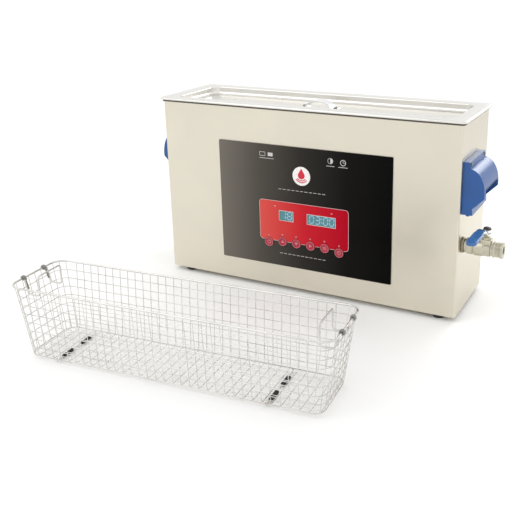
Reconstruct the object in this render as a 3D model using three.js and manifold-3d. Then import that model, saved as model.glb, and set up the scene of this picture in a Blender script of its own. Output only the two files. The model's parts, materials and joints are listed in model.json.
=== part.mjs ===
// Benchtop ultrasonic cleaner with a long, narrow tank, and the wire basket that belongs to it.
// Millimetres, +Z up. While it is built, X runs along the tank from its middle, Y runs back from the
// housing's front face, and Z is the height above the bench. The last lines centre the whole set.

import * as THREE from "three";
import { mergeVertices } from "three/addons/utils/BufferGeometryUtils.js";
import Module from "manifold-3d";

const manifold = await Module();
manifold.setup();

// Driving dimensions
const GAP = 0.3;
const SHEET = 1.2;

const HOUSING_LENGTH = 530;
const HOUSING_DEPTH = 150;
const FOOT_HEIGHT = 8;
const FOOT_RADIUS = 10.5;
const FOOT_X = 235;
const FOOT_INSET = 16;
const COVER_DEPTH = 9;
const HOUSING_TOP = 313;
const HALF_LENGTH = HOUSING_LENGTH / 2;
const MID_DEPTH = HOUSING_DEPTH / 2;

const TANK_LENGTH = 500;
const TANK_WIDTH = 126;
const TANK_CORNER = 20;
const TANK_FLOOR = 164.8;
const FLANGE_TOP = 318.8;
const FLANGE_LIP = 2.8;
const FLANGE_OVERHANG = 3;
const FLANGE_CORNER = 5;
const SEAL_OVERHANG = 2.6;
const SEAL_WIDTH = 8;

const LID_OVERHANG = 6;
const LID_CORNER = 7;
const LID_TOP = FLANGE_TOP + GAP + SHEET;
const LID_SKIRT = 3.6;
const LID_TRAY_DEPTH = 14;
const LID_TRAY_LENGTH = 494;
const LID_TRAY_WIDTH = 120;
const LID_TRAY_CORNER = 17;
const LID_TRAY_TOP = LID_TOP - LID_TRAY_DEPTH;
const LID_HANDLE_LENGTH = 66;
const LID_HANDLE_WIDTH = 20;
const LID_HANDLE_RISE = 14;
const LID_HANDLE_STRAP = 2;
const LID_SCREW_REACH = 28.5;
const LID_SCREW_HOLE = 1.9;

const PANEL_X = 2.5;
const PANEL_WIDTH = 313;
const PANEL_HEIGHT = 210;
const PANEL_MID_HEIGHT = 150.5;
const PANEL_SHEET = 1.5;
const CONTROLS_X = 4.5;
const FACEPLATE_WIDTH = 164;
const FACEPLATE_HEIGHT = 71;
const FACEPLATE_MID_HEIGHT = 125.5;
const FACEPLATE_SHEET = 1;
const DISPLAY_MID_HEIGHT = 136;
const DISPLAY_HEIGHT = 18;
const DISPLAY_FRONT = -1.3;
const TEMPERATURE_DISPLAY = { middle: CONTROLS_X - 31.5, width: 27 };
const TIMER_DISPLAY = { middle: CONTROLS_X + 33, width: 52 };
const BUTTON_RADIUS = 8;
const BUTTON_PITCH = 26;
const BUTTON_COUNT = 6;
const BUTTON_HEIGHT = 90;
const END_BUTTON_DROP = 4;
const BUTTON_FRONT = -3.9;
const BUTTON_BACK = 0.6;
const BUTTON_CLEARANCE = 0.4;
const BOARD_Y = 8;
const CONTROL_WINDOW = { halfWidth: 80, low: 74, high: 150 };

const VALVE_DEPTH = 24;
const VALVE_HEIGHT = 122.5;
const PIPE_OUTER = 9;
const PIPE_BORE = 6.5;
const DRAIN_X = 225;
const BALL_X = 302;
const BALL_RADIUS = 9.1;
const BALL_CHAMBER = 9.4;
const STEM_RADIUS = 4;
const OUTLET_START = 312.5;
const OUTLET_END = 328.5;
const LEVER_LENGTH = 100;
const LEVER_RISE = 22.5;
const LEVER_CRANK = 16;
const LEVER_SHEET = 2.5;

const GRIP_WIDTH = 87;
const RIGHT_GRIP_INSET = 8;
const LEFT_GRIP_INSET = 36;
const GRIP_BOTTOM = 176;
const GRIP_TOP = 257.5;
const GRIP_BASE = 17;
const GRIP_BASE_TOP = 10.7;
const GRIP_CHEEK = 4;
const HOOD_TOP = 247.5;
const HOOD_WIDEST = 209;
const HOOD_LIP = 204;
const HOOD_HEEL = 186;
const FINGER_OPENING_TOP = 215.5;
const FINGER_OPENING_CORNER = 6;
const HOOD_REACH = 17;
const HOOD_WALL = 3;

const FAN_X = -150;
const FAN_HEIGHT = 95;
const FAN_SIZE = 80;
const FAN_DEPTH = 20;
const FAN_BLADES = 7;
const AIR_SLOT_COUNT = 9;
const AIR_SLOT_PITCH = 12;
const AIR_SLOT_X = -40;
const AIR_SLOT_HEIGHT = 75;
const INLET_X = 205;
const INLET_BODY_WIDTH = 28;
const INLET_BODY_HEIGHT = 21;
const SWITCH_X = 150;
const SWITCH_WIDTH = 20;
const SWITCH_HEIGHT = 31;
const ROCKER_TIP = THREE.MathUtils.degToRad(7);
const SERVICE_HEIGHT = 60;

const TRANSDUCER_COUNT = 4;
const TRANSDUCER_PITCH = 118;
const TRANSDUCER_HEIGHT = 60;
const SENSOR_X = -120;
const SENSOR_HEIGHT = 200;
const HEATER_LENGTH = 300;
const HEATER_LOW = 190;
const HEATER_HIGH = 285;

const BASKET_X = -36;
const BASKET_Y = -300;
const BASKET_TURN = THREE.MathUtils.degToRad(4.8);
const RIM_LENGTH = 488;
const RIM_WIDTH = 112;
const RIM_CORNER = 20;
const RIM_WIRE = 3;
const BASKET_HEIGHT = 113;
const BASKET_FLOOR = 6;
const FLOOR_LENGTH = 450;
const FLOOR_WIDTH = 94;
const MESH_WIRE = 1.6;
const WALL_DROP = 6;
const CROSS_WIRE = 1.2;
const CROSS_WIRE_X = [-178, 148];
const SLEEVE_RADIUS = 3;
const SLEEVE_LENGTH = 22;
const SLEEVE_Y = 20;
const HANDLE_SPREAD = 24;
const HANDLE_WIRE = 1.5;

// Materials

function makeMaterial(color, metalness, roughness) {
  return new THREE.MeshStandardMaterial({ color, metalness, roughness });
}

const brushedSteel = () => makeMaterial(0xcfcabd, 0.9, 0.35);
const brightSteel = () => makeMaterial(0xdcdad4, 0.95, 0.2);
const nickelBrass = () => makeMaterial(0xb9b199, 0.9, 0.35);
const aluminium = () => makeMaterial(0xb8bbc0, 0.8, 0.5);
const blackGloss = () => makeMaterial(0x17181a, 0.0, 0.12);
const redGloss = () => makeMaterial(0xc8102e, 0.0, 0.2);
const blueDisplay = () => makeMaterial(0x9fd4ee, 0.0, 0.2);
const bluePlastic = () => makeMaterial(0x2f5fae, 0.0, 0.4);
const blackPlastic = () => makeMaterial(0x1c1c1e, 0.0, 0.5);
const blackRubber = () => makeMaterial(0x151515, 0.0, 0.8);
const greenBoard = () => makeMaterial(0x1f6b3a, 0.0, 0.5);
const orangeSilicone = () => makeMaterial(0xc2562a, 0.0, 0.7);

// Solids

function toSolid(geometry) {
  const plain = geometry.clone();
  plain.deleteAttribute("normal");
  plain.deleteAttribute("uv");
  const merged = mergeVertices(plain, 1e-4);
  const mesh = new manifold.Mesh({
    numProp: 3,
    vertProperties: new Float32Array(merged.attributes.position.array),
    triVerts: new Uint32Array(merged.index.array),
  });
  return new manifold.Manifold(mesh);
}

function toGeometry(solid) {
  const mesh = solid.getMesh();
  const geometry = new THREE.BufferGeometry();
  geometry.setAttribute("position", new THREE.BufferAttribute(mesh.vertProperties, 3));
  geometry.setIndex(new THREE.BufferAttribute(mesh.triVerts, 1));
  return geometry;
}

function join(first, ...others) {
  return toGeometry(others.reduce((solid, other) => solid.add(toSolid(other)), toSolid(first)));
}

function cut(first, ...tools) {
  return toGeometry(tools.reduce((solid, tool) => solid.subtract(toSolid(tool)), toSolid(first)));
}

// A box between two corners.
function block(x0, x1, y0, y1, z0, z1) {
  const geometry = new THREE.BoxGeometry(x1 - x0, y1 - y0, z1 - z0);
  return geometry.translate((x0 + x1) / 2, (y0 + y1) / 2, (z0 + z1) / 2);
}

// A cylinder whose axis is a unit vector, centred on a point.
function rod(radius, length, middle, axis, sides = 20) {
  const geometry = new THREE.CylinderGeometry(radius, radius, length, sides);
  const turn = new THREE.Quaternion().setFromUnitVectors(new THREE.Vector3(0, 1, 0), axis);
  return geometry.applyQuaternion(turn).translate(...middle);
}

const ALONG_X = new THREE.Vector3(1, 0, 0);
const ALONG_Y = new THREE.Vector3(0, 1, 0);
const ALONG_Z = new THREE.Vector3(0, 0, 1);

function extrude(shape, depth, curveSegments = 4) {
  return new THREE.ExtrudeGeometry(shape, { depth, curveSegments, bevelEnabled: false });
}

// A shape drawn in plan, from z0 up to z1.
function standing(shape, z0, z1, curveSegments) {
  return extrude(shape, z1 - z0, curveSegments).translate(0, 0, z0);
}

// A shape drawn in the front view, with X to the right and Z up, from y0 back to y1.
function facing(shape, y0, y1, curveSegments) {
  return extrude(shape, y1 - y0, curveSegments).rotateX(Math.PI / 2).translate(0, y1, 0);
}

// A shape drawn in the side view, with Y to the right and Z up, from x0 to x1.
function sideways(shape, x0, x1, curveSegments) {
  const turn = new THREE.Matrix4().makeBasis(ALONG_Y, ALONG_Z, ALONG_X);
  return extrude(shape, x1 - x0, curveSegments).applyMatrix4(turn).translate(x0, 0, 0);
}

function roundedRectangle(width, height, radius, middleX = 0, middleY = 0) {
  const right = width / 2;
  const top = height / 2;
  const shape = new THREE.Shape();
  const corners = [
    [right - radius, -top + radius, -Math.PI / 2],
    [right - radius, top - radius, 0],
    [-right + radius, top - radius, Math.PI / 2],
    [-right + radius, -top + radius, Math.PI],
  ];
  for (const [x, y, start] of corners) {
    shape.absarc(middleX + x, middleY + y, radius, start, start + Math.PI / 2, false);
  }
  shape.closePath();
  return shape;
}

function disc(radius, middleX = 0, middleY = 0) {
  const shape = new THREE.Shape();
  shape.absarc(middleX, middleY, radius, 0, Math.PI * 2, false);
  return shape;
}

// A solid of revolution about X, from a closed profile of [x, radius] pairs.
function turnedAboutX(profile, sides = 20) {
  const points = profile.map(([x, radius]) => new THREE.Vector2(radius, x));
  return new THREE.LatheGeometry(points, sides).rotateZ(-Math.PI / 2);
}

// A solid of revolution about Z, from a closed profile of [radius, z] pairs.
function turnedAboutZ(profile, sides = 16) {
  const points = profile.map(([radius, z]) => new THREE.Vector2(radius, z));
  return new THREE.LatheGeometry(points, sides).rotateX(Math.PI / 2);
}

// A line through points, with each inner corner rounded.
function bentLine(points, bend) {
  const path = new THREE.CurvePath();
  let start = points[0];
  for (let i = 1; i < points.length - 1; i += 1) {
    const corner = points[i];
    const into = corner.clone().sub(points[i - 1]).normalize().multiplyScalar(bend);
    const onward = points[i + 1].clone().sub(corner).normalize().multiplyScalar(bend);
    const before = corner.clone().sub(into);
    const after = corner.clone().add(onward);
    path.add(new THREE.LineCurve3(start, before));
    path.add(new THREE.QuadraticBezierCurve3(before, corner, after));
    start = after;
  }
  path.add(new THREE.LineCurve3(start, points.at(-1)));
  return path;
}

function addPart(group, name, geometry, material) {
  const mesh = new THREE.Mesh(geometry, material);
  mesh.name = name;
  group.add(mesh);
  return mesh;
}

// Housing

// Front and both ends are one folded sheet, open at the back.
function housingWrap() {
  const outside = block(-HALF_LENGTH, HALF_LENGTH, 0, HOUSING_DEPTH, FOOT_HEIGHT, HOUSING_TOP);
  const inner = HALF_LENGTH - SHEET;
  const inside = block(-inner, inner, SHEET, HOUSING_DEPTH + 1, FOOT_HEIGHT - 1, HOUSING_TOP + 1);
  const { halfWidth, low, high } = CONTROL_WINDOW;
  const window = block(CONTROLS_X - halfWidth, CONTROLS_X + halfWidth, -1, SHEET + 1, low, high);
  const pipeHole = rod(PIPE_OUTER + GAP, 4, [HALF_LENGTH, VALVE_DEPTH, VALVE_HEIGHT], ALONG_X);
  return cut(outside, inside, window, pipeHole);
}

// A hole through the rear cover, centred on a point of it.
function rearHole(x, z, width, height) {
  const hole = block(-width / 2, width / 2, -3, 1, -height / 2, height / 2);
  return hole.translate(x, HOUSING_DEPTH, z);
}

// A hole for one of the fittings in the rear cover, with clearance.
function serviceHole(x, width, height) {
  return rearHole(x, SERVICE_HEIGHT, width + 2 * GAP, height + 2 * GAP);
}

// Upright slots whose ends follow a circle in front of the fan.
function fanSlots() {
  const reach = 36;
  const pitch = 9.5;
  return [-3, -2, -1, 0, 1, 2, 3].map((step) => {
    const height = 2 * Math.sqrt(reach ** 2 - (step * pitch) ** 2);
    return rearHole(FAN_X + step * pitch, FAN_HEIGHT, 6, height);
  });
}

function airSlots() {
  const slots = [];
  for (let step = 0; step < AIR_SLOT_COUNT; step += 1) {
    slots.push(rearHole(AIR_SLOT_X + step * AIR_SLOT_PITCH, AIR_SLOT_HEIGHT, 5, 50));
  }
  return slots;
}

// A shallow pan with its edges turned in.
function rearCover() {
  const side = HALF_LENGTH - SHEET - GAP;
  const inner = side - SHEET;
  const low = FOOT_HEIGHT + SHEET + 2 * GAP;
  const high = HOUSING_TOP - GAP;
  const front = HOUSING_DEPTH - COVER_DEPTH;
  const outside = block(-side, side, front, HOUSING_DEPTH, low, high);
  const inside = block(-inner, inner, front - 1, HOUSING_DEPTH - SHEET, low + SHEET, high - SHEET);
  const inletHole = serviceHole(INLET_X, INLET_BODY_WIDTH, INLET_BODY_HEIGHT);
  const switchHole = serviceHole(SWITCH_X, SWITCH_WIDTH, SWITCH_HEIGHT);
  return cut(outside, inside, inletHole, switchHole, ...fanSlots(), ...airSlots());
}

// A plate with a row of air slots under the circuit board.
function bottomPlate() {
  const side = HALF_LENGTH - SHEET - GAP;
  const plate = block(-side, side, SHEET + GAP, HOUSING_DEPTH - GAP, FOOT_HEIGHT, FOOT_HEIGHT + SHEET);
  const slots = [];
  for (let x = -90; x <= 90; x += 20) {
    slots.push(block(-3, 3, -30, 30, -1, SHEET + 1).translate(x, MID_DEPTH, FOOT_HEIGHT));
  }
  return cut(plate, ...slots);
}

function foot() {
  const top = FOOT_HEIGHT - GAP;
  return turnedAboutZ([[0, 0], [9, 0], [FOOT_RADIUS, 2], [FOOT_RADIUS, top], [0, top]]);
}

function addHousing(group) {
  addPart(group, "housing_wrap", housingWrap(), brushedSteel());
  addPart(group, "rear_cover", rearCover(), brushedSteel());
  addPart(group, "bottom_plate", bottomPlate(), brushedSteel());
  const rearInset = HOUSING_DEPTH - FOOT_INSET;
  for (const [side, x] of [["left", -FOOT_X], ["right", FOOT_X]]) {
    addPart(group, `foot_front_${side}`, foot(), blackRubber()).position.set(x, FOOT_INSET, 0);
    addPart(group, `foot_rear_${side}`, foot(), blackRubber()).position.set(x, rearInset, 0);
  }
}

// Tank and what is bonded to it

function tankOutline(margin) {
  const corner = TANK_CORNER + margin;
  return roundedRectangle(TANK_LENGTH + 2 * margin, TANK_WIDTH + 2 * margin, corner, 0, MID_DEPTH);
}

function housingOutline(overhang, corner) {
  const length = HOUSING_LENGTH + 2 * overhang;
  return roundedRectangle(length, HOUSING_DEPTH + 2 * overhang, corner, 0, MID_DEPTH);
}

// A deep-drawn tank whose flange rests on the housing's seal, with its edge turned down.
function tank() {
  const lipLow = FLANGE_TOP - FLANGE_LIP;
  const basin = standing(tankOutline(SHEET), TANK_FLOOR - SHEET, FLANGE_TOP - SHEET / 2);
  const flange = standing(housingOutline(FLANGE_OVERHANG, FLANGE_CORNER), lipLow, FLANGE_TOP);
  const innerEdge = housingOutline(FLANGE_OVERHANG - SHEET, FLANGE_CORNER - SHEET);
  const underFlange = cut(
    standing(innerEdge, lipLow - 1, FLANGE_TOP - SHEET),
    standing(tankOutline(SHEET), 0, FLANGE_TOP + 1),
  );
  const bath = standing(tankOutline(0), TANK_FLOOR, FLANGE_TOP + 1);
  const drainHole = rod(PIPE_BORE, 8, [DRAIN_X, VALVE_DEPTH, TANK_FLOOR], ALONG_Z);
  return cut(join(cut(flange, underFlange), basin), bath, drainHole);
}

// The bead between the housing's top edge and the tank's flange.
function flangeSeal() {
  const low = HOUSING_TOP + GAP;
  const high = FLANGE_TOP - FLANGE_LIP - GAP;
  const outside = standing(housingOutline(SEAL_OVERHANG, FLANGE_CORNER), low, high);
  const hollow = standing(housingOutline(SEAL_OVERHANG - SEAL_WIDTH, 2), low - 1, high + 1);
  return cut(outside, hollow);
}

// A bolted stack: a flared front mass, two ceramic rings, a back mass and the bolt's head.
function transducer() {
  const back = [[0, 0], [7, 0], [7, 6], [18, 6], [18, 26]];
  const rings = [[19, 26], [19, 36]];
  const front = [[20, 36], [20, 38], [28, 56], [28, TRANSDUCER_HEIGHT], [0, TRANSDUCER_HEIGHT]];
  return turnedAboutZ([...back, ...rings, ...front], 12);
}

function temperatureSensor() {
  const wall = MID_DEPTH - TANK_WIDTH / 2 - SHEET - GAP;
  const probe = rod(6, 4, [0, wall - 2, 0], ALONG_Y, 16);
  const terminal = block(-2.5, 2.5, wall - 6, wall - 3, -4, 4);
  return join(probe, terminal).translate(SENSOR_X, 0, SENSOR_HEIGHT);
}

function heaterPad() {
  const front = MID_DEPTH + TANK_WIDTH / 2 + SHEET + GAP;
  return block(-HEATER_LENGTH / 2, HEATER_LENGTH / 2, front, front + 2.5, HEATER_LOW, HEATER_HIGH);
}

function addTank(group) {
  addPart(group, "tank", tank(), brightSteel());
  addPart(group, "flange_seal", flangeSeal(), blackRubber());
  for (let i = 0; i < TRANSDUCER_COUNT; i += 1) {
    const mesh = addPart(group, `transducer_${i + 1}`, transducer(), aluminium());
    const x = (i - (TRANSDUCER_COUNT - 1) / 2) * TRANSDUCER_PITCH;
    mesh.position.set(x, MID_DEPTH, TANK_FLOOR - SHEET - GAP - TRANSDUCER_HEIGHT);
  }
  addPart(group, "heater_pad", heaterPad(), orangeSilicone());
  addPart(group, "temperature_sensor", temperatureSensor(), aluminium());
}

// Lid

function trayOutline(margin) {
  const length = LID_TRAY_LENGTH + 2 * margin;
  return roundedRectangle(length, LID_TRAY_WIDTH + 2 * margin, LID_TRAY_CORNER + margin, 0, MID_DEPTH);
}

function screwHoles(low, high) {
  const middle = (low + high) / 2;
  const places = [-LID_SCREW_REACH, LID_SCREW_REACH];
  return places.map((x) => rod(LID_SCREW_HOLE, high - low, [x, MID_DEPTH, middle], ALONG_Z, 8));
}

// A turned-down edge, a raised border and a sunken middle.
function lid() {
  const low = LID_TOP - LID_SKIRT;
  const cap = cut(
    standing(housingOutline(LID_OVERHANG, LID_CORNER), low, LID_TOP),
    standing(housingOutline(LID_OVERHANG - SHEET, LID_CORNER - SHEET), low - 1, LID_TOP - SHEET),
  );
  const tray = standing(trayOutline(0), LID_TRAY_TOP - SHEET, LID_TOP - SHEET / 2);
  const hollow = standing(trayOutline(-SHEET), LID_TRAY_TOP, LID_TOP + 1);
  return cut(join(cap, tray), hollow, ...screwHoles(LID_TRAY_TOP - 3, LID_TRAY_TOP + 3));
}

// A flat strap with a foot at each end, arched over the fingers.
function lidHandle() {
  const strap = LID_HANDLE_STRAP;
  const half = LID_HANDLE_LENGTH / 2;
  const archReach = 24;
  const shoulder = Math.asin(strap / LID_HANDLE_RISE);
  const outline = new THREE.Shape();
  outline.moveTo(-half, 0);
  outline.lineTo(-archReach + strap, 0);
  outline.absellipse(0, 0, archReach - strap, LID_HANDLE_RISE - strap, Math.PI, 0, true);
  outline.lineTo(half, 0);
  outline.lineTo(half, strap);
  outline.absellipse(0, 0, archReach, LID_HANDLE_RISE, shoulder, Math.PI - shoulder, false);
  outline.lineTo(-half, strap);
  outline.closePath();
  const low = LID_TRAY_TOP + GAP;
  const y0 = MID_DEPTH - LID_HANDLE_WIDTH / 2;
  const bar = facing(outline, y0, y0 + LID_HANDLE_WIDTH, 6).translate(0, 0, low);
  return cut(bar, ...screwHoles(low - 2, low + 4));
}

function lidScrew() {
  const seat = LID_TRAY_TOP + 2 * GAP + LID_HANDLE_STRAP;
  const low = LID_TRAY_TOP - SHEET - 4;
  const head = [[1.5, seat], [3.6, seat], [3.2, seat + 1.4], [2, seat + 2], [0, seat + 2]];
  return turnedAboutZ([[0, low], [1.5, low], ...head], 12);
}

function addLid(group) {
  addPart(group, "lid", lid(), brightSteel());
  addPart(group, "lid_handle", lidHandle(), brightSteel());
  for (const [side, end] of [["left", -1], ["right", 1]]) {
    const mesh = addPart(group, `lid_screw_${side}`, lidScrew(), blackPlastic());
    mesh.position.set(end * LID_SCREW_REACH, MID_DEPTH, 0);
  }
}

// Front controls

function buttonPlace(index) {
  const last = BUTTON_COUNT - 1;
  const x = CONTROLS_X + (index - last / 2) * BUTTON_PITCH;
  const atEnd = index === 0 || index === last;
  return [x, atEnd ? BUTTON_HEIGHT - END_BUTTON_DROP : BUTTON_HEIGHT];
}

function buttonPlaces() {
  return Array.from({ length: BUTTON_COUNT }, (value, index) => buttonPlace(index));
}

// What is cut out of a front sheet: two display windows and a hole for each button.
function controlCutouts() {
  const windows = [TEMPERATURE_DISPLAY, TIMER_DISPLAY].map((display) => displayBlock(display, 0, -5, 5));
  const radius = BUTTON_RADIUS + BUTTON_CLEARANCE;
  return [...windows, ...buttonPlaces().map(([x, z]) => rod(radius, 10, [x, -2, z], ALONG_Y))];
}

function displayBlock({ middle, width }, clearance, y0, y1) {
  const halfWidth = width / 2 - clearance;
  const halfHeight = DISPLAY_HEIGHT / 2 - clearance;
  const low = DISPLAY_MID_HEIGHT - halfHeight;
  return block(middle - halfWidth, middle + halfWidth, y0, y1, low, low + 2 * halfHeight);
}

function frontPanel() {
  const outline = roundedRectangle(PANEL_WIDTH, PANEL_HEIGHT, 2, PANEL_X, PANEL_MID_HEIGHT);
  return cut(facing(outline, -GAP - PANEL_SHEET, -GAP, 3), ...controlCutouts());
}

function controlFaceplate() {
  const middle = [CONTROLS_X, FACEPLATE_MID_HEIGHT];
  const outline = roundedRectangle(FACEPLATE_WIDTH, FACEPLATE_HEIGHT, 6, ...middle);
  const back = -2 * GAP - PANEL_SHEET;
  return cut(facing(outline, back - FACEPLATE_SHEET, back, 5), ...controlCutouts());
}

function button() {
  const depth = BUTTON_BACK - BUTTON_FRONT;
  const edge = [[BUTTON_RADIUS, 0], [BUTTON_RADIUS, depth - 0.5], [BUTTON_RADIUS - 0.8, depth]];
  const cap = turnedAboutZ([[0, 0], ...edge, [0, depth]], 20);
  return cap.rotateX(Math.PI / 2).translate(0, BUTTON_BACK, 0);
}

// A circuit board with one key switch behind each button.
function controlBoard() {
  const { halfWidth, low, high } = CONTROL_WINDOW;
  const left = CONTROLS_X - halfWidth - 2;
  const right = CONTROLS_X + halfWidth + 2;
  const board = block(left, right, BOARD_Y, BOARD_Y + 1.6, low - 2, high + 2);
  const keySwitch = block(-3.5, 3.5, BUTTON_BACK + 0.8, BOARD_Y + 1, -3.5, 3.5);
  const switches = buttonPlaces().map(([x, z]) => keySwitch.clone().translate(x, 0, z));
  const plug = block(CONTROLS_X - 10, CONTROLS_X + 10, BOARD_Y + 1, BOARD_Y + 10, 100, 112);
  return join(board, ...switches, plug);
}

function addControls(group) {
  addPart(group, "front_panel", frontPanel(), blackGloss());
  addPart(group, "control_faceplate", controlFaceplate(), redGloss());
  buttonPlaces().forEach(([x, z], index) => {
    addPart(group, `button_${index + 1}`, button(), redGloss()).position.set(x, 0, z);
  });
  const back = BOARD_Y - GAP;
  const temperature = displayBlock(TEMPERATURE_DISPLAY, GAP, DISPLAY_FRONT, back);
  addPart(group, "temperature_display", temperature, blueDisplay());
  addPart(group, "timer_display", displayBlock(TIMER_DISPLAY, GAP, DISPLAY_FRONT, back), blueDisplay());
  addPart(group, "control_board", controlBoard(), greenBoard());
}

// The ultrasonic generator: a board on four posts, with its transformer, heat sink and capacitors.
function generatorBoard() {
  const low = FOOT_HEIGHT + SHEET + GAP;
  const boardLow = 24;
  const top = boardLow + 1;
  const postPlaces = [[-50, 35], [110, 35], [-50, 115], [110, 115]];
  const posts = postPlaces.map(([x, y]) => rod(3, top - low, [x, y, (top + low) / 2], ALONG_Z, 10));
  const board = block(-60, 120, 28, 122, boardLow, boardLow + 1.6);
  const transformer = block(-40, 0, 50, 95, top, 62);
  const heatSink = block(30, 80, 40, 52, top, 75);
  const capacitors = [30, 60].map((x) => rod(12, 40, [x, 85, top + 19], ALONG_Z, 16));
  const choke = block(85, 110, 60, 100, top, 45);
  return join(board, ...posts, transformer, heatSink, ...capacitors, choke);
}

// Cooling fan, mains inlet and power switch, all at the back

function fanFrame() {
  const half = FAN_SIZE / 2;
  const y0 = HOUSING_DEPTH - SHEET - GAP - FAN_DEPTH;
  const strutBack = y0 + 2.5;
  const frame = cut(
    block(-half, half, y0, y0 + FAN_DEPTH, -half, half),
    rod(half - 2.5, FAN_DEPTH + 2, [0, y0 + FAN_DEPTH / 2, 0], ALONG_Y, 24),
  );
  const hub = rod(14, 2.5, [0, y0 + 1.25, 0], ALONG_Y);
  const reach = half - 1;
  const upright = block(-1.5, 1.5, y0, strutBack, -reach, reach);
  const crosspiece = block(-reach, reach, y0, strutBack, -1.5, 1.5);
  return join(frame, hub, upright, crosspiece).translate(FAN_X, 0, FAN_HEIGHT);
}

function fanRotor() {
  const blades = [];
  for (let i = 0; i < FAN_BLADES; i += 1) {
    const blade = new THREE.BoxGeometry(1.6, 13, 25).rotateZ(THREE.MathUtils.degToRad(38));
    blade.translate(0, 0, 22.5).rotateY((i / FAN_BLADES) * Math.PI * 2);
    blades.push(blade);
  }
  return join(rod(13.5, 15, [0, 0, 0], ALONG_Y), ...blades);
}

// A block centred on a point of the rear cover's fittings.
function fitting(x, width, height, y0, y1) {
  const low = SERVICE_HEIGHT - height / 2;
  return block(x - width / 2, x + width / 2, y0, y1, low, low + height);
}

// A recessed three-pin appliance inlet.
function powerInlet() {
  const back = HOUSING_DEPTH + GAP;
  const flange = fitting(INLET_X, 50, 25, back, back + 3);
  const body = fitting(INLET_X, INLET_BODY_WIDTH, INLET_BODY_HEIGHT, back - 22, back + 1);
  const cavity = fitting(INLET_X, 24, 16.5, back - 13, back + 4);
  const pins = [[-7, -2], [0, 2], [7, -2]].map(([x, z]) => {
    return fitting(INLET_X + x, 2, 4, back - 14, back - 1).translate(0, 0, z);
  });
  return join(cut(join(flange, body), cavity), ...pins);
}

function switchBezel() {
  const back = HOUSING_DEPTH + GAP;
  const rim = fitting(SWITCH_X, 25, 36, back, back + 2);
  const body = fitting(SWITCH_X, SWITCH_WIDTH, SWITCH_HEIGHT, back - 16, back + 1);
  const well = fitting(SWITCH_X, SWITCH_WIDTH - 3, SWITCH_HEIGHT - 2.2, back - 11, back + 3);
  return cut(join(rim, body), well);
}

// Drawn pivoting about the origin, then tipped to its off position.
function switchRocker() {
  const outline = new THREE.Shape();
  outline.moveTo(-4, -13);
  outline.lineTo(5.5, -13);
  outline.lineTo(3.5, 0);
  outline.lineTo(5.5, 13);
  outline.lineTo(-4, 13);
  outline.closePath();
  const halfWidth = SWITCH_WIDTH / 2 - 2;
  return sideways(outline, -halfWidth, halfWidth).rotateX(ROCKER_TIP);
}

function addRearFittings(group) {
  addPart(group, "fan_frame", fanFrame(), blackPlastic());
  const rotor = addPart(group, "fan_rotor", fanRotor(), blackPlastic());
  rotor.position.set(FAN_X, HOUSING_DEPTH - SHEET - GAP - 8.5, FAN_HEIGHT);
  addPart(group, "power_inlet", powerInlet(), blackPlastic());
  addPart(group, "switch_bezel", switchBezel(), blackPlastic());
  const rocker = addPart(group, "switch_rocker", switchRocker(), blackPlastic());
  rocker.position.set(SWITCH_X, HOUSING_DEPTH - 3, SERVICE_HEIGHT);
}

// Carrying handles: a base that thickens downwards, with a hood over the fingers, open below.
// Both outlines are drawn with X out from the housing's end and Z up.
function gripBaseOutline() {
  const outline = new THREE.Shape();
  outline.moveTo(GAP, GRIP_BOTTOM);
  outline.lineTo(GRIP_BASE, GRIP_BOTTOM);
  outline.lineTo(GRIP_BASE_TOP, GRIP_TOP);
  outline.lineTo(GAP, GRIP_TOP);
  outline.closePath();
  return outline;
}

function hoodOutline(wall) {
  const reach = GRIP_BASE - GRIP_BASE_TOP + HOOD_REACH - wall;
  const rise = HOOD_TOP - HOOD_WIDEST - wall;
  const outline = new THREE.Shape();
  outline.moveTo(GRIP_BASE_TOP - 3, HOOD_TOP - wall);
  outline.lineTo(GRIP_BASE_TOP, HOOD_TOP - wall);
  outline.absellipse(GRIP_BASE_TOP, HOOD_WIDEST, reach, rise, Math.PI / 2, 0, true);
  outline.lineTo(GRIP_BASE_TOP + reach, HOOD_LIP - 4 * wall);
  outline.lineTo(GRIP_BASE - 1, HOOD_HEEL);
  outline.lineTo(GRIP_BASE_TOP - 3, HOOD_HEEL);
  outline.closePath();
  return outline;
}

// What is cut out of the hood's outer wall, above its open underside.
function fingerOpening() {
  const height = 40;
  const middle = [GRIP_WIDTH / 2, FINGER_OPENING_TOP - height / 2];
  const width = GRIP_WIDTH - 2 * GRIP_CHEEK;
  const outline = roundedRectangle(width, height, FINGER_OPENING_CORNER, ...middle);
  return sideways(outline, GRIP_BASE + 1, GRIP_BASE + HOOD_REACH + 5);
}

function carryHandle() {
  const inner = GRIP_WIDTH - GRIP_CHEEK;
  const base = facing(gripBaseOutline(), 0, GRIP_WIDTH);
  const hood = facing(hoodOutline(0), 0, GRIP_WIDTH, 8);
  const clip = block(7, 12, 1, 6, GRIP_BOTTOM - 2, GRIP_BOTTOM + 1);
  const underHood = facing(hoodOutline(HOOD_WALL), GRIP_CHEEK, inner, 8);
  const fingerWell = block(6, GRIP_BASE + 1, GRIP_CHEEK, inner, HOOD_HEEL + 3, HOOD_TOP - 12);
  return cut(join(base, hood, clip), underHood, fingerWell, fingerOpening());
}

function addCarryHandles(group) {
  const right = addPart(group, "carry_handle_right", carryHandle(), bluePlastic());
  right.position.set(HALF_LENGTH, RIGHT_GRIP_INSET, 0);
  const left = addPart(group, "carry_handle_left", carryHandle(), bluePlastic());
  left.rotation.z = Math.PI;
  left.position.set(-HALF_LENGTH, LEFT_GRIP_INSET + GRIP_WIDTH, 0);
}

// Drain: elbow, bulkhead flange, ball valve and outlet

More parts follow.
